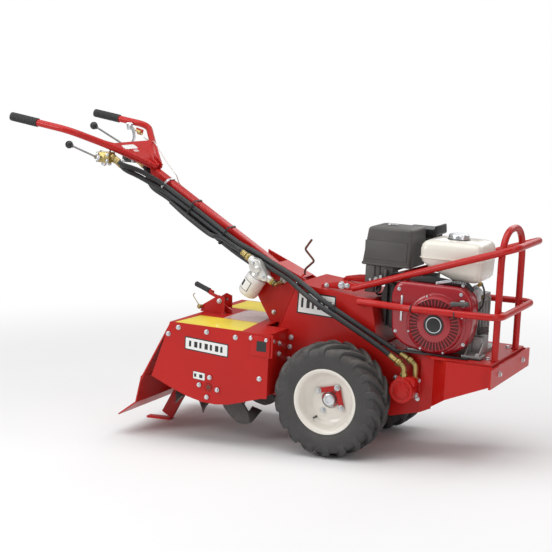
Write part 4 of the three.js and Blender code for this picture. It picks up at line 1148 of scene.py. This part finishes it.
def stop_lever():
    """Clevis under the left bar and the flat bar that hangs from it."""
    top = pivot("stop_lever_tilt")
    form = Form()
    for y in (-14, 0):
        outline = rounded([(top.x - 6, top.z + 7), (top.x + 18, top.z + 3), (top.x + 10, top.z - 24),
            (top.x - 1, top.z - 24)], 4)
        form.plate(outline, top.y + y, top.y + y + 2.4)
    form.pipe([(top.x, top.y - 18, top.z), (top.x, top.y + 8, top.z)], 3.5, 14)
    line = flowing([(top.x + 10, top.y - 8, top.z - 6), (top.x + 32, top.y - 18, top.z - 26),
        (top.x + 46, top.y - 34, top.z - 52), (top.x + 52, top.y - 58, top.z - 70)], 6)
    rings = []
    for k, point in enumerate(line):
        ahead, behind = line[min(k + 1, len(line) - 1)], line[max(k - 1, 0)]
        run = (Vector(ahead) - Vector(behind)).normalized()
        side = run.cross(Y).normalized()
        flat = run.cross(side).normalized()
        rings.append([Vector(point) + side * a + flat * b for a, b in ((-7, -2), (7, -2), (7, 2), (-7, 2))])
    form.loft(rings)
    piece("stop_lever_bar", form, ZINC, "stop_lever", ["stop_lever"], bevel=0.6)


def hose_end(form, seat, along, nut=21, crimps=3):
    """Hexagon nut and crimped sleeve where a hose meets its port."""
    form.lathe([(nut * 0.36, -2), (nut * 0.55, 0), (nut * 0.58, 2), (nut * 0.58, 12), (nut * 0.52, 14),
        (7, 14)], seat, along, 6)
    sleeve = [(7, 12), (8, 17), (11, 18)]
    for k in range(crimps):
        sleeve += [(11, 20 + 5 * k), (10.2, 21.5 + 5 * k), (10.2, 23 + 5 * k), (11, 24.5 + 5 * k)]
    form.lathe(sleeve + [(11, 22 + 5 * crimps), (9.6, 23.5 + 5 * crimps)], seat, along, 24)


def valves():
    low, high = room("tine_valve")
    body = Form()
    body.block((low.x + 4, low.y, 954), (-970, high.y, high.z), 4)
    body.block((low.x + 16, low.y - 2, 960), (low.x + 46, high.y + 2, 984), 5)
    body.pipe([(low.x + 4, -152, 974), (low.x - 6, -152, 974)], 11, 20)
    piece("tine_valve_block", body, YELLOW_ZINC, "handle", ["tine_valve"], bevel=1.4)
    steel = Form()
    steel.lathe([(8, 0), (10, 2), (10, 14), (8, 18), (0.5, 18)], (low.x + 30, -152, 958),
        Vector((-0.4, 0, -1)), 20)
    steel.lathe([(7, 0), (8, 10), (5, 14), (0.5, 14)], (low.x + 48, -152, 956), Vector((0.3, 0, -1)), 6)
    steel.lathe([(6, 0), (9, 2), (9, 12), (5, 16), (0.5, 16)], (low.x + 22, low.y - 1, 972), -Y, 6)
    steel.block((low.x + 10, -158, high.z - 1), (low.x + 52, -146, high.z + 10), 2)
    for x in (low.x + 12, low.x + 54):
        steel.bolt((x, low.y, 962), -Y, 9)
        steel.bolt((x, low.y, 984), -Y, 9)
    piece("tine_valve_fittings", steel, ZINC, "handle", bevel=0.5)

    low, high = room("drive_valve")
    body = Form()
    body.block((low.x, low.y, 948), (-944, high.y, 984), 4)
    body.pipe([(-990, low.y - 5, 966), (-990, high.y + 5, 966)], 10, 20)
    piece("drive_valve_block", body, DARK_CAST_AND_SHADE, "handle", ["drive_valve"], bevel=1.4)
    steel = Form()
    for x in (-996, -956):
        for z in (955, 977):
            steel.bolt((x, low.y, z), -Y, 9)
            steel.bolt((x, high.y, z), Y, 9)
    steel.block((-990, -4, 983), (-982, 4, 1003), 1)
    steel.block((-972, -14, 983), (-948, 14, 992), 2)
    piece("drive_valve_fittings", steel, ZINC, "handle", bevel=0.5)

    ends = Form()
    for seat, end in (((-968, -160, 981), (-940, -160, 964)), ((-970, -140, 968), (-936, -140, 944)),
            ((-942, 12, 974), (-916, 12, 953)), ((-944, -12, 962), (-914, -12, 938))):
        along = (Vector(end) - Vector(seat)).normalized()
        hose_end(ends, Vector(seat) + along * 3, along)
    piece("hose_ends_top", ends, YELLOW_ZINC, "handle")


def hoses():
    """Two drive hoses run from the near valve to the wheel motor; two more feed the hidden pump."""
    ways = [[(-940, -160, 964), (-918, -157, 950), by_column(-876, -100, 6), by_column(-816, -40, -3),
        by_column(-760, -32, -3), by_column(-600, -31, -4), (-489, -44, 692), (-396, -64, 661),
        (-317, -84, 632), (-237, -114, 606), (-157, -150, 576), (-67, -166, 527), (72, -165, 456),
        (190, -160, 396), (223, -159, 381)], [(-938, -140, 946), (-916, -136, 929),
        by_column(-884, -88, -18), by_column(-822, -42, -23), by_column(-760, -33, -22),
        by_column(-600, -32, -23), (-489, -45, 673), (-394, -68, 641), (-315, -90, 611), (-236, -122, 586),
        (-172, -158, 560), (-90, -178, 518), (-16, -182, 484), (92, -183, 430), (160, -184, 394),
        (192, -184, 374)]]
    drive = Form()
    for way in ways:
        drive.pipe(flowing(way, 8), HOSE_R, 18)
    obj = piece("drive_hoses", drive, HOSE, None)
    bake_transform(obj)
    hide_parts("handle_hoses", "motor_hoses")
    feed = Form()
    feed.pipe(flowing([(-916, -12, 940), (-900, -13, 924), by_column(-866, -26, -42),
        by_column(-780, -24, -40), by_column(-600, -24, -44), by_column(-500, -30, -42),
        by_column(-420, -34, -36), by_column(-336, -29, -36)], 8), HOSE_R, 18)
    feed.pipe(flowing([(-918, 12, 954), (-903, 13, 939), (-894, 12, 912), by_column(-864, 4, -36),
        by_column(-780, -5, -32), by_column(-600, -6, -31), by_column(-330, -6, -31)], 8), HOSE_R, 18)
    piece("feed_hoses", feed, HOSE, "handle")

    bands = Form()
    for x in (-684, -538):
        centre = Vector(by_column(x, 0, 0))
        outline = rounded(rect(-45, -54, 23, 22), 12, 5)
        path = [centre + Y * a + COLUMN_UP * b for a, b in outline]
        for shift in (-2, 0, 2):
            bands.pipe([point + COLUMN_DIR * shift for point in path], 1.3, 8, closed=True)
        bands.block((centre.x - 5, centre.y - 34, centre.z - 57),
            (centre.x + 3, centre.y - 26, centre.z - 48), 1)
    piece("hose_ties", bands, BLACK, "handle")
    band = Form()
    centre = Vector(by_column(-806, 0, 0))
    outline = rounded([(-50, -14), (22, -22), (22, 22), (-28, 22)], 8, 5)
    for shift in (-3, -1, 1, 3):
        band.pipe([centre + Y * a + COLUMN_UP * b + COLUMN_DIR * shift for a, b in outline], 1.3, 8,
            closed=True)
    piece("hose_clamp_band", band, ZINC, "handle")


def throttle():
    """Cable from the tab on the left bar down to the column."""
    cable = Form()
    cable.pipe(flowing([(-1072, 226, 1046), (-1040, 214, 1024), (-970, 145, 1022), (-920, 80, 1021),
        (-850, 44, 962), (-783, 10, 912)], 8), 2.0, 10)
    cable.pipe(flowing([(-783, 10, 912), by_column(-766, 21.5, 14), by_column(-700, 22, 6),
        by_column(-500, 22, 4), by_column(-340, 22, 4)], 8), 2.2, 10)
    piece("throttle_cable", cable, FILTER_ALLOY, "handle")
    tab = Form().plate(rounded([(-1094, 1066), (-1060, 1058), (-1066, 1036), (-1088, 1040)], 3), 226, 231)
    piece("throttle_tab", tab, RED, "handle", bevel=0.6)
    brass = Form().lathe([(4, -10), (6, -9), (6, 0), (9, 0), (9, 9), (4, 10), (4, 20), (0.5, 21)],
        (-1080, 227, 1050), Vector((0.8, -0.1, -0.45)), 6)
    brass.pipe([(-1096, 229, 1056), (-1074, 228, 1046)], 5, 12)
    piece("throttle_adjuster", brass, YELLOW_ZINC, "handle")


column()
handlebar()
grips()
knob_lever("tine_lever", "tine_lever_tilt", "tine_lever")
knob_lever("drive_lever", "drive_lever_tilt", "drive_lever")
stop_lever()
valves()
hoses()
throttle()


# ---------------------------------------------------------------- filter, wheel motor and ground tools

def filter_unit():
    """Spin-on canister hung under a cast head, with a port at each end of the head."""
    low, high = room("filter_canister")
    y = (low.y + high.y) / 2
    foot = Vector((-417, y, 507))
    tall = 82
    profile = [(0.5, 0), (22, 0.4), (31, 2.5), (35.5, 7), (37.4, 13), (37.6, tall - 14), (38.6, tall - 13),
        (38.6, tall - 9), (37.2, tall - 8), (37.2, tall - 3), (35, tall), (0.5, tall)]
    piece("filter_can", Form().lathe(profile, foot, COLUMN_UP, 48), WHITE, "chassis", ["filter_canister"])

    def patch(radius, level, top, start, end):
        form = Form()
        rings = []
        for k in range(13):
            turn = math.radians(start + (end - start) * k / 12)
            out = -Y * math.cos(turn) - COLUMN_DIR * math.sin(turn)
            rings.append([foot + out * r + COLUMN_UP * a for r, a in ((radius - 0.6, level),
                (radius - 0.6, top), (radius, top), (radius, level))])
        return form.loft(rings)

    piece("filter_label_edge", patch(37.9, 22, 62, -10, 62), LABEL_BLACK)
    piece("filter_label", patch(38.2, 24, 60, -6, 58), LABEL_WHITE)
    marks = patch(38.5, 30, 54, 34, 52)
    piece("filter_mark", marks, LABEL_BLACK)

    seat = foot + COLUMN_UP * tall
    head = Form().lathe([(33, 0.4), (35, 3), (35, 13), (31, 19), (20, 24), (0.5, 24)], seat, COLUMN_UP, 40)

    def on_head(a, b, across):
        return seat + COLUMN_DIR * a + COLUMN_UP * b + Y * (across - y)

    outline = rounded([(-30, 14), (-47, 34), (-47, 54), (-22, 62), (6, 50), (40, 36), (50, 22), (38, 10)],
        8, 4)
    head.loft([[on_head(a, b, level) for a, b in outline] for level in (-121, -83)])
    head.pipe([on_head(-56, 44, -103), on_head(-40, 44, -103)], 14, 20)
    head.pipe([on_head(40, 26, -104), on_head(58, 26, -104)], 13, 20)
    head.lathe([(9, 0), (13, 1), (13, 8), (0.5, 9)], on_head(-4, 36, -120), -Y, 24)
    head.loft([[on_head(a, b, level) for a, b in rounded([(-20, 12), (34, 12), (24, 34), (-12, 34)], 5)]
        for level in (-84, -57)])
    piece("filter_cast_head", head, FILTER_ALLOY, "chassis", ["filter_head"], bevel=1.6)

    brass = Form()
    hose_end(brass, on_head(-58, 44, -103), -COLUMN_DIR, 23)
    brass.lathe([(9, 0), (13, 1), (13, 10), (10, 12)], on_head(57, 26, -104), COLUMN_DIR, 6)
    brass.pipe(bent([tuple(on_head(66, 26, -104)), tuple(on_head(80, 26, -104)),
        tuple(on_head(80, 25, -52))], 12), 9, 16)
    piece("filter_fittings", brass, YELLOW_ZINC, bevel=0.3)
    washer = Form().lathe(rect(9, 0, 14, 3), on_head(74, 26, -104), COLUMN_DIR, 24, loop=True)
    piece("filter_seal", washer, BLACK)
    bolts = Form()
    for a, b in ((-32, 44), (30, 26), (4, 20)):
        bolts.bolt(on_head(a, b, -121), -Y, 10)
    piece("filter_bolts", bolts, ZINC, bevel=0.4)

    start = on_head(-92, 44, -103)
    way = [tuple(start), tuple(start - COLUMN_DIR * 22), by_column(-486, -88, -6),
        by_column(-545, -60, -20), by_column(-600, -46, -42), by_column(-700, -42, -44),
        by_column(-780, -30, -42)]
    hose = piece("filter_hose", Form().pipe(flowing(way, 8), HOSE_R, 18), HOSE, None)
    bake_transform(hose)


def wheel_motor():
    low, high = room("wheel_motor")
    centre = pivot("motor_spin")
    face = low.y
    radius = 43
    body = Form().lathe([(0.5, 1.5), (33, 1.5), (34.5, 0), (41, 0), (radius, 2), (radius, 14), (40.5, 16),
        (40.5, 19), (radius, 21), (radius, high.y - face - 12), (40, high.y - face - 10),
        (40, high.y - face), (0.5, high.y - face)], (centre.x, face, centre.z), Y, 56)
    lobes = []
    for k in range(96):
        radial = 29.5 if (k % 12) < 8 else 23
        x, z = at_angle(radial, 360 * k / 96 + 6)
        lobes.append((centre.x + x, centre.z + z))
    body.plate(lobes, face + 2, face - 1.2)
    body.plate([(centre.x + a, centre.z + b) for a, b in rounded([(-30, 26), (46, 18), (46, 42), (34, 49),
        (-18, 49)], 6)], face + 10, high.y - 4)
    body.plate([(centre.x + a, centre.z + b) for a, b in rounded(rect(-50, -40, 50, 40), 14, 5)],
        high.y - 10, high.y - 0.5)
    piece("motor_body", body, RED, "chassis", ["wheel_motor"], bevel=1)
    fixings = Form()
    for a, b in ((-42, -32), (42, -32), (42, 32), (-42, 32)):
        fixings.bolt((centre.x + a, high.y - 10, centre.z + b), -Y, 12)
    fixings.lathe([(6, 0), (9, 1), (9, 8), (6, 10), (0.5, 10)], (centre.x + 40, face + 40, centre.z - 14),
        Vector((1, 0, -0.2)), 6)
    piece("motor_bolts", fixings, ZINC, bevel=0.4)

    elbows = Form()
    for foot, head, root in (((246, -186, 300), (246, -186, 341), (182, -184, 381)),
            ((278, -158, 284), (278, -158, 349), (213, -159, 388))):
        along = (Vector(head) - Vector(root)).normalized()
        turn = Vector(head) - along * 16
        elbows.pipe(bent([foot, head, tuple(turn - along * 14)], 12), 9.5, 18)
        elbows.lathe([(7, 0), (13, 0.5), (13, 12), (7, 13)], Vector(foot) + Z * 8, Z, 6)
        hose_end(elbows, turn - along * 2, -along, 24, 5)
    piece("motor_elbows", elbows, YELLOW_ZINC, bevel=0.3)
    guard = Form().lathe([(9.8, 0), (11, 0.4), (11, 5), (9.8, 5.4)], (-34, -166, 509),
        Vector((0.88, 0, -0.46)), 20, loop=True)
    guard.block((-42, -176, 496), (-28, -156, 524), 3)
    piece("drive_hose_clamp", guard, BLACK, bevel=1)


# A tine in the XZ plane with its root along +X: its flat shank, the fold at its tip, and the free edge of
# the blade that is folded out sideways from there.
TINE_SHANK = [(50, -32), (80, -40), (120, -38), (156, -29), (176, -8), (188, 16), (150, 33), (98, 37),
    (50, 32)]
TINE_FOLD, TINE_EDGE = ((188, 16), (150, 33)), ((170, 61), (136, 36))
TINE_REACH, TINE_THICK = 43, 5          # sideways reach of a blade, and half the thickness of a shank
FIRST_TINE, SET_TURN = 49, (0, 24, 12, 36)
SET_Y = (-205, -80, 80, 205)


def tine(form, at, hand):
    """Adds one tine; at(u, v, level) places a point given along the root, across it and sideways."""
    outline = rounded(TINE_SHANK, 9, 3)
    inner = shrunk(outline, 1.6)
    half = TINE_THICK
    form.loft([[at(u, v, level) for u, v in ring] for ring, level in ((inner, -half),
        (outline, 1.4 - half), (outline, half - 1.4), (inner, half))])
    rings = []
    for n in range(10):
        t = n / 9
        bow = 5 * math.sin(math.pi * t)
        tip, heel = [Vector(a).lerp(Vector(b), t) for a, b in zip(TINE_FOLD, TINE_EDGE)]
        run = (tip - heel).normalized()
        out = Vector((-run.y, run.x))
        thick = 7 - 3 * t
        level = hand * (TINE_REACH * t - (1 - t) * 1.5)
        rings.append([at(*point, level) for point in (heel + out * bow, tip + out * bow,
            tip + out * (bow - thick), heel + out * (bow - thick))])
    form.loft(rings)


def tine_set(number):
    """Hub disc with three broad tines, each with a blade folded sideways at its end."""
    node = "tine_set_%d" % (number + 1)
    shaft = pivot("tine_spin")
    middle = SET_Y[number]
    form = Form().lathe([(46.6, -6), (64, -6), (66, -4.5), (66, 4.5), (64, 6), (46.6, 6)],
        (shaft.x, middle, shaft.z), Y, 40, loop=True)
    for k in range(3):
        turn = math.radians(SET_TURN[number] - FIRST_TINE - 120 * k)

        def at(u, v, level):
            return Vector((shaft.x + u * math.cos(turn) - v * math.sin(turn), middle + level,
                shaft.z + u * math.sin(turn) + v * math.cos(turn)))

        tine(form, at, -1 if k == 1 else 1)
    for k in range(6):
        x, z = at_angle(56, 60 * k + 15)
        for side in (-1, 1):
            form.bolt((shaft.x + x, middle + side * 5.5, shaft.z + z), Y * side, 11, washer=False)
    piece("tines_%d" % (number + 1), form, TINE, "tine_rotor", [node], bevel=0.8)


def depth_parts():
    """Lever grip, cross pin, catch pin on its wire, and four bolts facing up."""
    grip = Form().lathe([(8.4, 0), (10.4, 0.6), (11, 3), (9.8, 6), (9.4, 40), (10.2, 58), (9.6, 63),
        (6, 66), (0.5, 66.6)], (-616, 0, 486), Vector((-74, 0, 27)).normalized(), 24)
    piece("depth_grip", grip, GRIP, "depth_lever")
    pins = Form()
    seat = pivot("depth_lever_turn")
    pins.bolt((seat.x, -34, seat.z), -Y, 14)
    pins.bolt((seat.x, 34, seat.z), Y, 14)
    for x in (-626, -542):
        for y in (-26, 26):
            pins.bolt((x, y, 411.5), Z, 11)
    piece("depth_bolts", pins, ZINC, bevel=0.4)
    brass = Form().lathe([(4, 0), (6.5, 1), (6.5, 10), (9, 11), (9, 17), (6, 19), (0.5, 19)],
        (-630, -32, 430), Vector((-0.3, -1, 0)), 20)
    brass.pipe(flowing([(-634, -44, 434), (-648, -46, 452), (-662, -44, 470), (-656, -42, 478)], 6), 1.6, 10)
    piece("depth_catch", brass, YELLOW_ZINC)


def lock_rod():
    line = [(-226, 0, 556), (-226, 0, 610), (-190, 0, 644), (-230, 0, 684), (-204, 0, 722)]
    form = Form().pipe(bent(line, 9, 6), 4.1, 14)
    piece("lock_rod_bar", form, RUSTY, "lock_rod", ["handle_lock_rod"])
    guide = Form().lathe([(4.9, 0), (10, 0), (10, 8), (8, 10), (4.9, 10)], (-226, 0, 578.5), Z, 24, loop=True)
    piece("lock_rod_guide", guide, ZINC)


def bracket_trim():
    """Pivot bolt and cheek bolts on both sides of the handle bracket."""
    bolts = Form()
    bolts.bolt((PIVOT.x, -54, PIVOT.z), -Y, 20)
    for x, z in ((-262, 446), (-322, 446), (-232, 560)):
        bolts.bolt((x, -48, z), -Y, 12)
    bolts.mirrored()
    piece("bracket_bolts", bolts, ZINC, bevel=0.4)


filter_unit()
wheel_motor()
for number in range(4):
    tine_set(number)
depth_parts()
lock_rod()
bracket_trim()


# ---------------------------------------------------------------- CAD nodes that stay in view

# The cylinder takes the dark cast finish as painted shade for the shadow it sits in, not for a darker alloy.
KEPT = {RED: ["frame_side_right", "frame_side_left", "frame_cover", "front_frame", "engine_deck",
    "hood_top", "hood_side_right", "hood_side_left", "depth_bracket", "rear_flap", "depth_stake",
    "depth_lever", "handle_bracket"], STEEL: ["drive_axle", "crankshaft"],
    TINE: ["tine_shaft", "motor_sprocket", "drive_chain"],
    DARK_CAST_AND_SHADE: ["tine_motor", "hydraulic_pump", "cylinder"], CAST: ["crankcase"]}
for material, nodes in KEPT.items():
    for node in nodes:
        dress(NODES[node], material, bevel=1.2)


# ---------------------------------------------------------------- floor, light and camera

FADE_START, FADE_END = 1.1, 3.5     # metres from the machine over which the floor turns to plain white
FLOOR_HALF = 40                     # metres
LENS, SENSOR = 95.05, 36            # millimetres
VIEW_TURN, VIEW_LIFT = 25.33, 7.79  # degrees round the machine and above the floor
VIEW_REACH = 5.39487                # metres from the point that the camera looks at
VIEW_OFFSET = Vector((-0.32358, 0, 0.38544))    # that point, from the axle, in metres
LIGHT_AIM = Vector((0, 0, 0.5))
WORLD_LIGHT = 0.34                  # strength of the white room as a light; the camera sees it at 1


def floor_card():
    """Pale matt card that turns to the backdrop's white, for the camera only, away from the machine."""
    material = finish("floor_card", (0.88, 0.88, 0.88), 0.8, vary=0.01, patch=0.6, grain=90, bump=0.02)
    nodes, link = material.node_tree.nodes, material.node_tree.links.new
    reach = nodes.new("ShaderNodeVectorMath")
    reach.operation = "LENGTH"
    link(nodes.new("ShaderNodeNewGeometry").outputs["Position"], reach.inputs[0])
    fade = nodes.new("ShaderNodeMapRange")
    fade.interpolation_type = "SMOOTHSTEP"
    fade.inputs["From Min"].default_value = FADE_START
    fade.inputs["From Max"].default_value = FADE_END
    link(reach.outputs["Value"], fade.inputs["Value"])
    seen = nodes.new("ShaderNodeMath")
    seen.operation = "MULTIPLY"
    link(fade.outputs["Result"], seen.inputs[0])
    link(nodes.new("ShaderNodeLightPath").outputs["Is Camera Ray"], seen.inputs[1])
    glow = nodes.new("ShaderNodeEmission")
    mixer = nodes.new("ShaderNodeMixShader")
    link(seen.outputs[0], mixer.inputs["Fac"])
    link(nodes["Principled BSDF"].outputs["BSDF"], mixer.inputs[1])
    link(glow.outputs["Emission"], mixer.inputs[2])
    link(mixer.outputs["Shader"], nodes["Material Output"].inputs["Surface"])
    return material


def studio():
    """A pale floor that runs off into a white room, with soft light from above and both sides."""
    mesh = bpy.data.meshes.new("floor")
    mesh.from_pydata([(x, y, 0) for x, y in rect(-FLOOR_HALF, -FLOOR_HALF, FLOOR_HALF, FLOOR_HALF)], [],
        [(0, 1, 2, 3)])
    floor = bpy.data.objects.new("floor", mesh)
    bpy.context.scene.collection.objects.link(floor)
    mesh.materials.append(floor_card())

    world = bpy.data.worlds.new("studio")
    bpy.context.scene.world = world
    world.use_nodes = True
    nodes, link = world.node_tree.nodes, world.node_tree.links.new
    strength = nodes.new("ShaderNodeMapRange")
    strength.inputs["To Min"].default_value = WORLD_LIGHT
    strength.inputs["To Max"].default_value = 1.0
    link(nodes.new("ShaderNodeLightPath").outputs["Is Camera Ray"], strength.inputs["Value"])
    nodes["Background"].inputs["Color"].default_value = (1, 1, 1, 1)
    link(strength.outputs["Result"], nodes["Background"].inputs["Strength"])

    def softbox(name, place, width, height, power):
        light = bpy.data.lights.new(name, "AREA")
        light.shape = "RECTANGLE"
        light.size, light.size_y, light.energy = width, height, power
        lamp = bpy.data.objects.new(name, light)
        bpy.context.scene.collection.objects.link(lamp)
        lamp.location = place
        lamp.rotation_euler = (LIGHT_AIM - Vector(place)).to_track_quat("-Z", "Y").to_euler()

    softbox("overhead", (0.1, -0.4, 4.0), 5.0, 4.0, 130)
    softbox("key", (-2.1, -3.2, 2.2), 1.6, 1.8, 52)
    softbox("fill", (3.5, -2.6, 1.6), 1.4, 2.2, 22)
    softbox("back", (0.7, 3.4, 2.4), 3.0, 1.4, 26)


def photo_camera():
    """A long lens at the front right quarter, a little above the machine's middle."""
    data = bpy.data.cameras.new("camera")
    data.lens, data.sensor_width = LENS, SENSOR
    camera = bpy.data.objects.new("camera", data)
    bpy.context.scene.collection.objects.link(camera)
    turn, lift = math.radians(VIEW_TURN), math.radians(VIEW_LIFT)
    target = _axle + VIEW_OFFSET
    away = Vector((math.sin(turn) * math.cos(lift), -math.cos(turn) * math.cos(lift), math.sin(lift)))
    camera.location = target + away * VIEW_REACH
    camera.rotation_euler = (-away).to_track_quat("-Z", "Y").to_euler()
    bpy.context.scene.camera = camera


studio()
photo_camera()
bpy.context.scene.view_settings.view_transform = "Standard"
